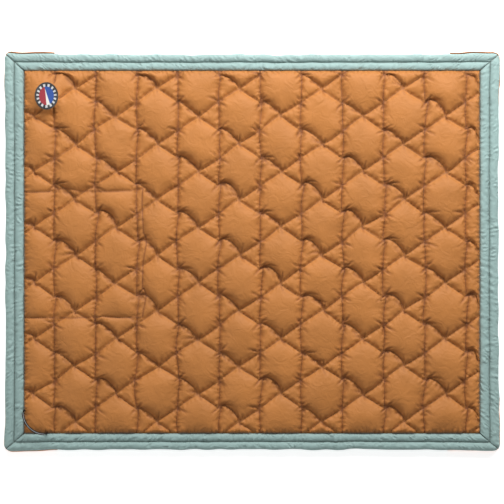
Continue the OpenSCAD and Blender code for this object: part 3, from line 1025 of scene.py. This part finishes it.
    def build(self, finish: bpy.types.Material) -> bpy.types.Object:
        """Builds the face.

        Args:
            finish: The face's material.

        Returns:
            The finished piece.
        """
        lattice, sizes = self.lattice, self.sizes
        shape = lattice_grid(lattice, sizes, self.steps)
        piece = finished("quilted_face", shape, finish)
        rest = points(piece.data)
        x, y = rest[:, 0].copy(), rest[:, 1].copy()
        d = self.seam_distance(x, y)
        base = self.seam_height(x, y)
        badge = self.badge_reach(x, y)
        badge_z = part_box("badge_backing")[0][2] - 0.0004
        pocket = self.pocket_distance(x, y)
        on_seam = (d < 1e-4) & (badge > 1.05)
        under_badge = badge < 0.97
        on_pocket = pocket < 0.0024
        height = base + self.puff(x, y) + 0.0020 * self.gathers(x, y)
        blend = ease((1.5 - badge) / 0.5)
        height = height * (1 - blend) + badge_z * blend
        dx, dy = self.shift(x, y)
        rest[:, 0] = x + dx
        rest[:, 1] = y + dy
        rest[:, 2] = np.where(on_seam, base, height)
        put_points(piece.data, rest)
        held = on_seam | under_badge | on_pocket | (self.edge_distance(x, y) < 1e-5)
        near = np.exp(-(lattice.crossing(x, y) / 0.035) ** 2)
        spare = np.exp(-np.minimum(d, pocket * 1.5) / 0.02) * (0.6 + 0.6 * near)
        spare = spare * (0.75 + 0.25 * ripple(x, y, 0.05, 9))
        self.run.settle(piece, held, np.clip(spare, 0, 1))
        calm = np.clip((np.minimum(d, pocket * 1.5) - 0.010) / 0.03, 0, 1) * 0.9 * (badge > 1.0)
        smoothed(piece.data, calm, self.run.passes)
        rest = points(piece.data)
        clear = np.clip((badge - 1.0) / 0.2, 0, 1)
        creases = self.creases(x, y)
        folds = 0.0018 * self.gathers(x, y) - 0.0095 * creases * np.clip(d / 0.003, 0, 1)
        rest[:, 2] += clear * ~on_seam * folds
        rest[:, 2] = np.clip(rest[:, 2], SEAM_Z - 0.003, badge_z)
        put_points(piece.data, rest)
        edge = self.edge_distance(x, y)
        straight, rising, falling = lattice.distances(x, y)
        drawn = np.hypot(dx, dy) / lattice.pinch
        # Painted shade: this depth darkens the cloth's colour along the seams, the pocket's seam, the short
        # creases and the gathers' valleys, where shade falls.
        depth = 0.70 * np.exp(-straight / 0.0020) + 0.25 * np.exp(-rising / 0.0016)
        depth += (0.12 + 0.85 * drawn) * np.exp(-falling / 0.0020)
        depth += 0.85 * creases + 0.8 * np.exp(-(pocket / 0.0025) ** 2)
        depth += 0.5 * np.clip(-self.gathers(x, y), 0, 1) * np.exp(-np.minimum(edge, straight) / 0.012)
        paint_crease_shade(piece.data, depth * clear)
        lined(piece)
        return piece


@dataclass
class QuiltedBack:
    """The teal back of the quilt, pressed flat where it rests.

    Attributes:
        sizes: The blanket's shared sizes.
        lattice: Its seams.
        steps: Cloth cells to half a pitch.
    """

    sizes: BlanketSizes
    lattice: QuiltLattice
    steps: int = 10

    def room(self, x: Array, y: Array) -> Array:
        """Height that the pockets on the back need above the ground.

        Args:
            x: Places along X.
            y: Places along Y.

        Returns:
            One height for each place.
        """
        low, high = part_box("stuff_pocket")
        _, zip_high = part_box("zip_tape_back_side")
        inside = np.minimum(np.minimum(x - low[0], zip_high[0] - x), np.minimum(y - low[1], high[1] - y))
        stuffed = 0.0105 * ease((inside + 0.014) / 0.014)
        pocket_low, pocket_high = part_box("corner_pocket_top_right")
        leg = (pocket_high[0] - pocket_low[0]) + 0.012
        corner = (np.abs(x) - pocket_high[0]) + (np.abs(y) - pocket_high[1]) + leg
        return np.maximum(stuffed, 0.0035 * ease((corner + 0.02) / 0.02))

    def build(self, finish: bpy.types.Material) -> bpy.types.Object:
        """Builds the back.

        Args:
            finish: The back's material.

        Returns:
            The finished piece.
        """
        lattice, sizes = self.lattice, self.sizes
        shape = lattice_grid(lattice, sizes, self.steps)
        bmesh.ops.reverse_faces(shape, faces=shape.faces[:])
        piece = finished("quilted_back", shape, finish)
        rest = points(piece.data)
        x, y = rest[:, 0], rest[:, 1]
        edge = np.minimum(sizes.half_x - np.abs(x), sizes.half_y - np.abs(y))
        d = np.minimum(np.minimum.reduce(lattice.distances(x, y)), edge)
        near = np.exp(-(lattice.crossing(x, y) / 0.034) ** 2)
        phase = 2 * math.pi * lattice.along(x, y) / 0.021 + 2.6 * ripple(x, y, 0.06, 31)
        folds = np.cos(phase) * np.exp(-d / 0.013) * np.clip(d / 0.005, 0, 1) * (0.3 + 0.8 * near)
        room = self.room(x, y)
        floor = 0.0012 + room + 0.0012 * np.clip(1 + ripple(x, y, 0.05, 32), 0, None) * ease(d / 0.03)
        top = SEAM_Z - 0.0045
        depth = (1 - (1 - np.clip(d / 0.034, 0, 1)) ** 2) ** 0.8
        height = top - (top - floor) * depth + 0.0022 * folds
        rest[:, 2] = np.clip(height, np.minimum(floor, top - 0.0005), top)
        put_points(piece.data, rest)
        lined(piece)
        return piece


# ---------------------------------------------------------------- border


class Side(Enum):
    """The four sides of the border: whether it runs along Y, and the sign of its side."""

    LEFT = ("left", True, -1)
    RIGHT = ("right", True, 1)
    TOP = ("top", False, 1)
    BOTTOM = ("bottom", False, -1)


@dataclass
class StuffedBorder:
    """One mitred side of the border, sewn as two stuffed channels.

    Attributes:
        sizes: The blanket's shared sizes.
        side: Which side it is.
        around: Cells across one channel.
        cell: Length of a cell along the side.
        crown: Height of a channel.
        floor: Lowest point of a channel.
        seam: Half the thickness of a sewn seam.
        run: Its cloth simulation.
    """

    sizes: BlanketSizes
    side: Side
    around: int = 10
    cell: float = 0.0046
    crown: float = 0.0270
    floor: float = 0.0014
    seam: float = 0.0008
    run: ClothRun = field(default_factory=lambda: ClothRun(push=14.0, fullness=0.20))

    def profile(self) -> list[tuple[float, float, bool]]:
        """Stations round the section: share of the width, signed bulge, whether it is a seam."""
        top = []
        for channel in (0, 1):
            for k in range(self.around + 1):
                if channel and not k:
                    continue
                turn = math.pi * k / self.around
                share = (channel + (1 - math.cos(turn)) / 2) / 2
                top.append((share, math.sin(turn) ** 0.9, k in (0, self.around)))
        under = [(share, -bulge, seam) for share, bulge, seam in reversed(top)]
        return top + under + [top[0]]

    def seam_z(self, share: Array) -> Array:
        """Height of the middle of the cloth along a seam."""
        return np.interp(share, (0.0, 0.5, 1.0), (SEAM_Z - 0.001, 0.0155, 0.0125))

    def build(self, finish: bpy.types.Material) -> bpy.types.Object:
        """Builds the side.

        Args:
            finish: The side's material.

        Returns:
            The finished piece.
        """
        name, runs_y, sign = self.side.value
        sizes = self.sizes
        stations = self.profile()
        inner_run, outer_run = (sizes.half_y, sizes.out_y) if runs_y else (sizes.half_x, sizes.out_x)
        inner, outer = (sizes.half_x, sizes.out_x) if runs_y else (sizes.half_y, sizes.out_y)
        count = round(2 * outer_run / self.cell)
        shape = bmesh.new()
        bmesh.ops.create_grid(shape, x_segments=count, y_segments=len(stations) - 1, size=0.5)
        last = len(stations) - 1
        order = [(round((v.co.x + 0.5) * count), round((v.co.y + 0.5) * last)) for v in shape.verts]
        piece = finished("border_strip_" + name, shape, finish)
        steps = np.array([k for k, _ in order]) / count * 2 - 1
        around = np.array([k for _, k in order])
        table = np.array(stations, float)[around]
        share, bulge, on_seam = table[:, 0], table[:, 1], table[:, 2] > 0.5
        length = steps * (inner_run + share * (outer_run - inner_run))
        across = sign * (inner + share * (outer - inner))
        x, y = (across, length) if runs_y else (length, across)
        wrinkle_seed = 60 + list(Side).index(self.side)
        base = self.seam_z(share)
        end = outer_run * (1 - np.abs(steps))
        tuck = 1 - 0.30 * np.exp(-(end / 0.007) ** 2)
        swell = np.where(bulge > 0, self.crown - base, base - self.floor) * tuck
        height = base + np.where(bulge >= 0, self.seam, -self.seam) + swell * bulge
        channel = np.abs((share * 2) % 1 - 0.5) * 2
        slant = 2.2 * (share - 0.5)
        phase = 2 * math.pi * length / 0.024 + slant * 4
        phase = phase + 2.5 * ripple(length, share * 0.05, 0.08, wrinkle_seed)
        patch = np.clip(0.5 + 0.6 * ripple(length, share * 0.2, 0.12, wrinkle_seed + 10), 0, 1.3)
        folds = np.cos(phase) * patch * (0.25 + 0.75 * channel) * np.abs(bulge) ** 0.5
        leaning = (length - 0.012 * np.sign(share - 0.5) * channel) / 0.0125
        fine = np.cos(2 * math.pi * leaning + 3.0 * ripple(length, share * 0.1, 0.05, wrinkle_seed + 5))
        fine = fine * np.clip(0.2 + 0.8 * ripple(length, share * 0.15, 0.07, wrinkle_seed + 6), 0, 1.2)
        fine = fine * np.abs(bulge) ** 0.5
        height = height + (0.0028 * folds + 0.0028 * fine) * np.sign(bulge)
        edge_x, edge_y = sizes.edge_shift(x, y)
        x, y = (x + edge_x * share, y) if runs_y else (x, y + edge_y * share)
        end_pull = share * np.abs(steps) ** 8
        if runs_y:
            y = y + edge_y * end_pull * (np.abs(steps) > 0.9)
        else:
            x = x + edge_x * end_pull * (np.abs(steps) > 0.9)
        x, y = sizes.rounded(x, y)
        places = np.stack([x, y, height], 1)
        put_points(piece.data, places)
        closing = (around == 0) | (around == len(stations) - 1)
        held = on_seam | closing | (end < 0.004)
        uneven = 0.6 + 0.4 * ripple(length, share * 0.1, 0.05, wrinkle_seed + 20)
        spare = (0.35 + 0.65 * channel) * np.clip(uneven, 0, 1) * np.clip(end / 0.02, 0, 1)
        self.run.settle(piece, held, np.clip(spare, 0, 1))
        places = points(piece.data)
        places[:, 2] = np.clip(places[:, 2], 0.0008, 0.034)
        put_points(piece.data, places)
        # Painted shade: this depth darkens the cloth's colour along the seams between channels, at the
        # mitred ends and in the fine wrinkles' valleys.
        dip = np.minimum(np.abs(share), np.abs(share - 0.5)) * (outer - inner)
        depth = 0.5 * np.exp(-dip / 0.0018) + 0.25 * np.exp(-end / 0.002)
        paint_crease_shade(piece.data, depth + 0.4 * np.clip(-fine, 0, 1) * channel)
        shape = bmesh.new()
        shape.from_mesh(piece.data)
        bmesh.ops.remove_doubles(shape, verts=shape.verts[:], dist=1e-5)
        bmesh.ops.holes_fill(shape, edges=[e for e in shape.edges if e.is_boundary], sides=0)
        bmesh.ops.recalc_face_normals(shape, faces=shape.faces[:])
        shape.to_mesh(piece.data)
        shape.free()
        subdivided(piece)
        return piece


# ---------------------------------------------------------------- stitches


def over(piece: bpy.types.Object, lift: float = 0.0002) -> Lift:
    """Makes a function that gives the height of a piece's cloth.

    Args:
        piece: The piece.
        lift: How far above the cloth.

    Returns:
        The function.
    """
    mesh = piece.data
    tree = BVHTree.FromPolygons([v.co for v in mesh.vertices], [p.vertices for p in mesh.polygons])

    def height(x: Array, y: Array) -> Array:
        """Height above each place."""
        hits = [tree.ray_cast(Vector((a, b, 0.2)), Vector((0, 0, -1)))[0] for a, b in zip(x, y)]
        return np.array([hit.z + lift if hit else SEAM_Z for hit in hits])

    return height


@dataclass
class Stitches:
    """Rows of separate machine stitches.

    Attributes:
        name: The piece's name.
        pitch: Distance from one stitch to the next.
        length: Length of the thread that shows in one stitch.
        width: Width of the thread.
    """

    name: str
    pitch: float = 0.0068
    length: float = 0.0048
    width: float = 0.0010

    def build(self, rows: list[list[Vector]], finish: bpy.types.Material) -> bpy.types.Object:
        """Builds the rows.

        Args:
            rows: Each row's points, one a stitch.
            finish: The thread's material.

        Returns:
            The finished piece.
        """
        ends = [(here, there) for row in rows for here, there in zip(row, row[1:])]
        start = np.array([here for here, _ in ends])
        end = np.array([there for _, there in ends])
        shape = bmesh.new()
        size = Matrix.Diagonal((self.length / 2, self.width / 2, self.width / 2.4, 1))
        bmesh.ops.create_icosphere(shape, subdivisions=1, radius=1, matrix=size)
        mesh, blocks = repeated(shape, len(ends))
        way = (end - start) / np.linalg.norm(end - start, axis=1, keepdims=True)
        side = np.stack([-way[:, 1], way[:, 0], np.zeros(len(way))], 1)
        side /= np.linalg.norm(side, axis=1, keepdims=True)
        up = np.cross(way, side)
        turned = sum(blocks[:, :, k, None] * axis[:, None] for k, axis in enumerate((way, side, up)))
        placed = ((start + end) / 2)[:, None] + turned
        put_points(mesh, placed.reshape(-1, 3))
        return shown(self.name, mesh, finish)

    def row(self, start: Vector, end: Vector, lift: Lift, shift: Shift | None = None) -> list[Vector]:
        """Points of a row between two ends.

        Args:
            start: The row's first point.
            end: Its last point.
            lift: Gives the height at each place.
            shift: Gives a sideways shift at each place.

        Returns:
            The points, one pitch apart.
        """
        count = max(2, round((end - start).length / self.pitch))
        share = np.linspace(0, 1, count)
        x, y = start.x + share * (end.x - start.x), start.y + share * (end.y - start.y)
        z = lift(x, y)
        if shift:
            dx, dy = shift(x, y)
            x, y = x + dx, y + dy
        return [Vector(p) for p in zip(x, y, z)]


# ---------------------------------------------------------------- pockets and zip


@dataclass
class CornerPocket:
    """A cloth pocket over one corner of the back, turned up round the border's edge.

    Attributes:
        sizes: The blanket's shared sizes.
        name: The piece's name.
        sign_x: Which side it is on along X.
        sign_y: Which side it is on along Y.
        lip_x: How far it stands out past the border along X.
        lip_y: How far it stands out past the border along Y.
        leg: Its length along each edge.
        turn_r: Radius of its turned edge.
        turn: Angle that the edge turns through.
        thickness: Thickness of the cloth.
    """

    sizes: BlanketSizes
    name: str
    sign_x: int
    sign_y: int
    lip_x: float = 0.006
    lip_y: float = 0.006
    leg: float = 0.180
    turn_r: float = 0.0062
    turn: float = 2.5
    thickness: float = 0.0005

    @property
    def cut(self) -> float:
        """Length of the cut cloth along each edge."""
        return self.leg + self.turn_r * self.turn

    def _edge(self, run: Array, out: float) -> tuple[Array, Array]:
        """Turns the last stretch of cloth up round the edge.

        Args:
            run: Places along the cut cloth.
            out: Where the turn starts.

        Returns:
            The places across the blanket's edge, and their heights.
        """
        past = np.clip(run - self.leg, 0, None)
        angle = past / self.turn_r
        flat = np.minimum(run, self.leg) - self.leg + out
        return flat + self.turn_r * np.sin(angle), self.turn_r * (1 - np.cos(angle))

    def build(self, finish: bpy.types.Material) -> bpy.types.Object:
        """Builds the pocket.

        Args:
            finish: The pocket's material.

        Returns:
            The finished piece.
        """
        cells = 60
        shape = bmesh.new()
        bmesh.ops.create_grid(shape, x_segments=cells, y_segments=cells, size=self.cut / 2)
        bmesh.ops.translate(shape, verts=shape.verts[:], vec=(self.cut / 2, self.cut / 2, 0))
        whole = shape.verts[:] + shape.edges[:] + shape.faces[:]
        middle = (self.cut / 2, self.cut / 2, 0)
        bmesh.ops.bisect_plane(shape, geom=whole, plane_co=middle, plane_no=(-1, -1, 0), clear_outer=True)
        piece = finished(self.name, shape, finish)
        places = points(piece.data)
        a, b = places[:, 0], places[:, 1]
        x, up_x = self._edge(a, self.sizes.out_x + self.lip_x - self.turn_r)
        y, up_y = self._edge(b, self.sizes.out_y + self.lip_y - self.turn_r)
        x, y = x * self.sign_x, y * self.sign_y
        out_x, out_y = self.sizes.out_x, self.sizes.out_y
        edge_x, edge_y = self.sizes.edge_shift(np.clip(x, -out_x, out_x), np.clip(y, -out_y, out_y))
        near_x, near_y = ease((a - self.leg + 0.05) / 0.05), ease((b - self.leg + 0.05) / 0.05)
        lip = 0.0004 * ripple(x, y, 0.09, 70)
        x = x + edge_x * near_x + self.sign_x * lip * near_x
        y = y + edge_y * near_y + self.sign_y * lip * near_y
        r = self.sizes.corner_r + self.turn_r
        far_x, far_y = self.sizes.out_x + self.lip_x - r, self.sizes.out_y + self.lip_y - r
        u, v = np.abs(x) - far_x, np.abs(y) - far_y
        both = (u > 0) & (v > 0)
        keep = np.where(both, np.maximum(u, v) / np.maximum(np.hypot(u, v), 1e-9), 1)
        x = np.where(both, self.sign_x * (far_x + u * keep), x)
        y = np.where(both, self.sign_y * (far_y + v * keep), y)
        mouth = (a + b) - self.cut
        loose = np.clip(mouth / 0.02, 0, 1) * np.clip((2 * self.leg - a - b) / 0.05, 0, 1)
        wave = 0.0005 + 0.0004 * (1 + ripple(x, y, 0.06, 71)) * loose
        z = np.maximum(up_x, up_y) + np.clip(wave, 0.0003, 0.0012)
        put_points(piece.data, np.stack([x, y, z], 1))
        shape = bmesh.new()
        shape.from_mesh(piece.data)
        bmesh.ops.recalc_face_normals(shape, faces=shape.faces[:])
        shape.to_mesh(piece.data)
        shape.free()
        lined(piece, self.thickness, 0)
        return piece


@dataclass
class StuffPocket:
    """The cloth of the zipped pocket on the back."""

    def build(self, finish: bpy.types.Material) -> bpy.types.Object:
        """Builds the pocket's cloth.

        Args:
            finish: The cloth's material.

        Returns:
            The finished piece.
        """
        low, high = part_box("stuff_pocket")
        shape = bmesh.new()
        bmesh.ops.create_grid(shape, x_segments=74, y_segments=88, size=0.5)
        piece = finished("stuff_pocket_cloth", shape, finish)
        places = points(piece.data)
        x = low[0] + (places[:, 0] + 0.5) * (high[0] - low[0])
        y = low[1] + (places[:, 1] + 0.5) * (high[1] - low[1])
        edge = np.minimum(np.minimum(x - low[0], high[0] - x), np.minimum(y - low[1], high[1] - y))
        sag = 0.0022 * ease(edge / 0.05) + 0.0011 * (0.6 + ripple(x, y, 0.09, 80)) * ease(edge / 0.03)
        tucks = 0.0007 * np.cos(2 * math.pi * (x + y) / 0.028 + 2 * ripple(x, y, 0.07, 81))
        tucks = tucks * np.exp(-edge / 0.02) * ease(edge / 0.01)
        z = (low[2] + high[2]) / 2 - sag + tucks
        put_points(piece.data, np.stack([x, y, np.clip(z, 0.0006, 0.0062)], 1))
        shape = bmesh.new()
        shape.from_mesh(piece.data)
        bmesh.ops.reverse_faces(shape, faces=shape.faces[:])
        shape.to_mesh(piece.data)
        shape.free()
        lined(piece, 0.0005, 0)
        return piece


@dataclass
class ZipCoil:
    """One side of the zip's coil, wound round its cord.

    Attributes:
        name: The piece's name.
        node: The CAD coil that it stands for.
        pitch: Distance between turns.
    """

    name: str
    node: str
    pitch: float = 0.0017

    def build(self, finish: bpy.types.Material) -> bpy.types.Object:
        """Builds the coil as a row of slanted turns.

        Args:
            finish: The coil's material.

        Returns:
            The finished piece.
        """
        low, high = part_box(self.node)
        centre = (low + high) / 2
        width, tall = high[0] - low[0], high[2] - low[2]
        count = int((high[1] - low[1]) / self.pitch)
        turn = Matrix.Rotation(0.22, 4, "Z") @ Matrix.Diagonal((width / 2, self.pitch * 0.36, tall / 2, 1))
        shape = bmesh.new()
        bmesh.ops.create_uvsphere(shape, u_segments=8, v_segments=5, radius=1, matrix=turn)
        mesh, blocks = repeated(shape, count)
        along = low[1] + (np.arange(count) + 0.5) * self.pitch
        middle = np.stack([np.full(count, centre[0]), along, np.full(count, centre[2])], 1)
        put_points(mesh, (blocks + middle[:, None]).reshape(-1, 3))
        return shown(self.name, mesh, finish)


@dataclass
class LoopTails:
    """The corner loop's two sewn ends, which stand in the border's inner seam.

    Attributes:
        tape_w: Width of its tape.
        tape_t: Thickness of its tape.
        foot_z: Where the ends leave the seam.
    """

    tape_w: float = 0.008
    tape_t: float = 0.0012
    foot_z: float = 0.0150

    def build(self, finish: bpy.types.Material) -> bpy.types.Object:
        """Builds both ends.

        Args:
            finish: The tape's material.

        Returns:
            The finished piece.
        """
        low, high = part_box("loop_tails")
        tall = float(high[2]) - self.foot_z
        middle_z = (float(high[2]) + self.foot_z) / 2
        ends = (
            (low[0] + self.tape_t / 2, high[1] - self.tape_w / 2, (self.tape_t, self.tape_w, tall)),
            (high[0] - self.tape_w / 2, low[1] + self.tape_t / 2, (self.tape_w, self.tape_t, tall)),
        )
        shape = bmesh.new()
        for x, y, size in ends:
            place = Matrix.Translation((float(x), float(y), middle_z)) @ Matrix.Diagonal((*size, 1))
            bmesh.ops.create_cube(shape, size=1, matrix=place)
        bmesh.ops.bevel(
            shape, geom=shape.edges[:], offset=0.0003, affect="EDGES", segments=2, profile=0.5, material=-1,
        )
        return finished("loop_tail_tape", shape, finish)


# ---------------------------------------------------------------- stage


@dataclass(frozen=True)
class Studio:
    """Floor, lights and camera.

    Attributes:
        eye_height: Height of the camera.
        view_width: Width that the camera sees.
        film: Width of its film, in millimetres.
    """

    eye_height: float = 6.0
    view_width: float = 1.764
    film: float = 36.0

    def build(self) -> None:
        """Builds the floor, the lights and the camera."""
        scene = bpy.context.scene
        lens = bpy.data.cameras.new("camera")
        camera = bpy.data.objects.new("camera", lens)
        scene.collection.objects.link(camera)
        camera.location = (0, 0, self.eye_height)
        lens.sensor_width = self.film
        lens.lens = self.film * (self.eye_height - 0.02) / self.view_width
        scene.camera = camera
        shape = bmesh.new()
        bmesh.ops.create_grid(shape, x_segments=2, y_segments=2, size=9)
        bmesh.ops.translate(shape, verts=shape.verts[:], vec=(0, 0, -0.0008))
        floor = finished("floor", shape, self._paper())
        world = bpy.data.worlds.new("world")
        scene.world = world
        world.use_nodes = True
        sky = world.node_tree.nodes["Background"]
        sky.inputs["Color"].default_value = (1, 1, 1, 1)
        sky.inputs["Strength"].default_value = 0.36
        self._panel("key", (0.55, 2.35, 1.80), (4.4, 1.0), 158)
        self._panel("fill", (-2.2, -0.6, 3.0), (2.5, 2.5), 18)
        scene.view_settings.view_transform = "Standard"

    def _paper(self) -> bpy.types.Material:
        """White paper that glows a little, as a lit sweep does."""
        s = Shader("white_paper", 0.9)
        grain = s.add("TexNoise", Vector=s.place, Scale=40.0, Detail=2.0).outputs["Fac"]
        s.colour(s.tones(grain, [(0.3, (0.93, 0.93, 0.93)), (0.7, (0.95, 0.95, 0.95))]))
        s.surface.inputs["Emission Color"].default_value = (1, 1, 1, 1)
        s.surface.inputs["Emission Strength"].default_value = 0.55
        return s.material

    def _panel(self, name: str, place: tuple, size: tuple, power: float) -> None:
        """Hangs a soft light panel that faces the blanket.

        Args:
            name: The light's name.
            place: Where it hangs.
            size: Its length and width.
            power: Its power in watts.
        """
        light = bpy.data.lights.new(name, "AREA")
        light.shape = "RECTANGLE"
        light.size, light.size_y = size
        light.energy = power
        panel = bpy.data.objects.new(name, light)
        bpy.context.scene.collection.objects.link(panel)
        panel.location = place
        aim = Vector((place[0] * 0.2, 0, 0)) - Vector(place)
        panel.rotation_euler = aim.to_track_quat("-Z", "Y").to_euler()


# ---------------------------------------------------------------- assembly


def made(finish: object) -> bpy.types.Material:
    """A dataclass field that makes a finish's material when the palette is made."""
    return field(default_factory=finish.material)


@dataclass
class Palette:
    """Every finish of the blanket, made once."""

    face: bpy.types.Material = made(ShellCloth("rust_shell_cloth", RUST))
    shell: bpy.types.Material = made(ShellCloth("teal_shell_cloth", TEAL, 0.05))
    # Partly the pocket cloth's own rust and partly painted light: its tone is set lighter than the face's
    # rust for the light its turned edges catch.
    pocket: bpy.types.Material = made(ShellCloth("rust_pocket_cloth", (0.60, 0.25, 0.10), 0.05, 0.0008))
    rust_thread: bpy.types.Material = made(ThreadFinish("rust_sewing_thread", (0.20, 0.075, 0.025)))
    teal_thread: bpy.types.Material = made(ThreadFinish("teal_sewing_thread", (0.13, 0.19, 0.18)))
    metal: bpy.types.Material = made(MetalFinish())
    coil: bpy.types.Material = made(CoilFinish())
    tape: bpy.types.Material = made(
        StitchedFinish("zip_tape_knit", (0.018, 0.020, 0.022), Ribs.ALONG_Y, 0.0009)
    )
    webbing: bpy.types.Material = made(
        StitchedFinish("black_webbing", (0.0055, 0.0055, 0.0065), Ribs.ALONG_X, 0.0012, sheen=0.04)
    )
    tracer: bpy.types.Material = made(
        StitchedFinish("grey_tracer", (0.30, 0.31, 0.32), Ribs.ALONG_X, 0.0012, sheen=0.05)
    )
    label: bpy.types.Material = made(
        StitchedFinish("satin_label", (0.78, 0.78, 0.75), Ribs.ALONG_X, 0.0005)
    )


def embroidery(name: str, tone: tuple, ribs: Ribs, ground: tuple | None = None) -> bpy.types.Material:
    """Satin stitching of the badge.

    Args:
        name: The material's name.
        tone: Its linear colour.
        ribs: The way its stitches run.
        ground: Linear colour between the dashes of a band.

    Returns:
        The material.
    """
    low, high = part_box("badge_backing")
    centre = tuple((a + b) / 2 for a, b in zip(low, high))
    return StitchedFinish(name, tone, ribs, 0.0012, centre, ground).material()


def dress(nodes: tuple[str, ...], finish: bpy.types.Material) -> None:
    """Gives CAD nodes that stay a finish.

    Args:
        nodes: The nodes' names.
        finish: Their material.
    """
    for name in nodes:
        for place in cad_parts[name].material_slots:
            place.material = finish
        LOG.info("dressed %s", name)


def settled(piece: bpy.types.Object, slot: str, *nodes: str) -> bpy.types.Object:
    """Ties a piece of the blanket to its body and hides the CAD nodes that it stands for.

    Args:
        piece: The piece.
        slot: Not used.
        *nodes: The CAD nodes that it stands for.

    Returns:
        The same piece.
    """
    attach(piece, "blanket")
    if nodes:
        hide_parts(*nodes)
    LOG.info("made %s, %d faces", piece.name, len(piece.data.polygons))
    return piece


def sew_quilting(quilt: QuiltedFace, palette: Palette) -> None:
    """Sews the quilting rows, which stop short of the badge.

    Args:
        quilt: The face that they follow.
        palette: The finishes.
    """
    quilting = Stitches("quilting_stitches")
    sizes = quilt.sizes
    rows = []
    for a, b in quilt.lattice.lines(sizes.half_x - 0.004, sizes.half_y - 0.004):
        row = quilting.row(a, b, lambda x, y: quilt.seam_height(x, y) + 0.0004, quilt.shift)
        rows.append([p for p in row if quilt.badge_reach(np.array([p.x]), np.array([p.y]))[0] > 1.1])
    settled(quilting.build(rows, palette.rust_thread), "rust_thread", "quilting_thread")


def sew_pocket(quilt: QuiltedFace, face: bpy.types.Object, palette: Palette) -> None:
    """Sews the pocket's three rows, which lie on the face's cloth.

    Args:
        quilt: The face's sizes.
        face: The face's piece.
        palette: The finishes.
    """
    side, low, high = quilt.pocket_box()
    start = -quilt.sizes.half_x
    outline = [Vector((x, y, 0)) for x, y in ((start, high), (side, high), (side, low), (start, low))]
    pocket_rows = Stitches("pocket_stitches")
    rows = [pocket_rows.row(a, b, over(face)) for a, b in zip(outline, outline[1:])]
    settled(pocket_rows.build(rows, palette.rust_thread), "rust_thread", "pocket_thread")


def sew_border(sizes: BlanketSizes, palette: Palette) -> None:
    """Sews the border's inner seam and the row between its channels.

    Args:
        sizes: The blanket's shared sizes.
        palette: The finishes.
    """
    middle = (sizes.half_x + sizes.out_x) / 2, (sizes.half_y + sizes.out_y) / 2
    rings = ((sizes.half_x, sizes.half_y, SEAM_Z + 0.0006, 0.0), (*middle, 0.0168, 0.5))
    turns = ((-1, -1), (1, -1), (1, 1), (-1, 1), (-1, -1))
    border_rows = Stitches("border_stitches", pitch=0.0060, length=0.0044)
    rows = []
    for half_x, half_y, height, share in rings:
        ring = [Vector((sx * half_x, sy * half_y, 0)) for sx, sy in turns]
        for a, b in zip(ring, ring[1:]):
            along_x = a.y == b.y

            def sway(x: Array, y: Array) -> tuple[Array, Array]:
                """Sideways shift of the row, across its own run."""
                shift_x, shift_y = sizes.edge_shift(x, y)
                return share * shift_x * (not along_x), share * shift_y * along_x

            rows.append(border_rows.row(a, b, lambda x, y: np.full_like(x, height), sway))
    settled(border_rows.build(rows, palette.teal_thread), "teal_thread", "border_thread")


def main() -> None:
    """Builds the stage and the blanket, piece by piece."""
    logging.basicConfig(level=logging.INFO, format="%(message)s")
    Studio().build()
    palette = Palette()
    sizes = BlanketSizes.from_frame()
    lattice = QuiltLattice()

    quilt = QuiltedFace(sizes, lattice)
    face = settled(quilt.build(palette.face), "rust_shell", "face_panel", "insulation_batt")
    back = settled(QuiltedBack(sizes, lattice).build(palette.shell), "teal_shell", "back_panel")
    for side in Side:
        name = side.value[0]
        strip = StuffedBorder(sizes, side).build(palette.shell)
        settled(strip, "teal_shell", "border_" + name, "border_fill_" + name)

    sew_quilting(quilt, palette)
    sew_pocket(quilt, face, palette)
    sew_border(sizes, palette)
    corners = (
        ("top_left", -1, 1, 0.0005, 0.0065), ("top_right", 1, 1, 0.0022, 0.0065),
        ("bottom_left", -1, -1, 0.0005, 0.0030), ("bottom_right", 1, -1, 0.0022, 0.0010),
    )
    for key, sign_x, sign_y, lip_x, lip_y in corners:
        pocket = CornerPocket(sizes, "corner_pocket_cloth_" + key, sign_x, sign_y, lip_x, lip_y)
        piece = settled(pocket.build(palette.pocket), "pocket_cloth", "corner_pocket_" + key)
    stuff = settled(StuffPocket().build(palette.pocket), "pocket_cloth", "stuff_pocket")
    for where in ("pocket_side", "back_side"):
        coil = ZipCoil("coil_turns_" + where, "zip_coil_" + where)
        settled(coil.build(palette.coil), "zip_coil", "zip_coil_" + where)

    dress(("zip_tape_pocket_side", "zip_tape_back_side"), palette.tape)
    dress(("zip_top_stops", "zip_bottom_stop", "zip_slider", "zip_puller"), palette.metal)
    settled(LoopTails().build(palette.webbing), "loop_webbing", "loop_tails")
    dress(("corner_loop",), palette.webbing)
    dress(("loop_tracer",), palette.tracer)
    dress(("care_label",), palette.label)
    dark, gap = (0.016, 0.016, 0.018), (0.012, 0.012, 0.014)
    dress(("badge_backing", "badge_rim"), embroidery("badge_dark_stitch", dark, Ribs.RADIAL))
    dress(("badge_band",), embroidery("badge_pale_stitch", (0.55, 0.55, 0.55), Ribs.RADIAL, gap))
    dress(("badge_left_field",), embroidery("badge_red_stitch", (0.29, 0.014, 0.026), Ribs.ALONG_Y))
    dress(("badge_right_field",), embroidery("badge_blue_stitch", (0.010, 0.058, 0.27), Ribs.ALONG_Y))
    dress(("badge_peak",), embroidery("badge_peak_stitch", (0.66, 0.64, 0.58), Ribs.ALONG_X))


if __name__ == "__main__":
    main()
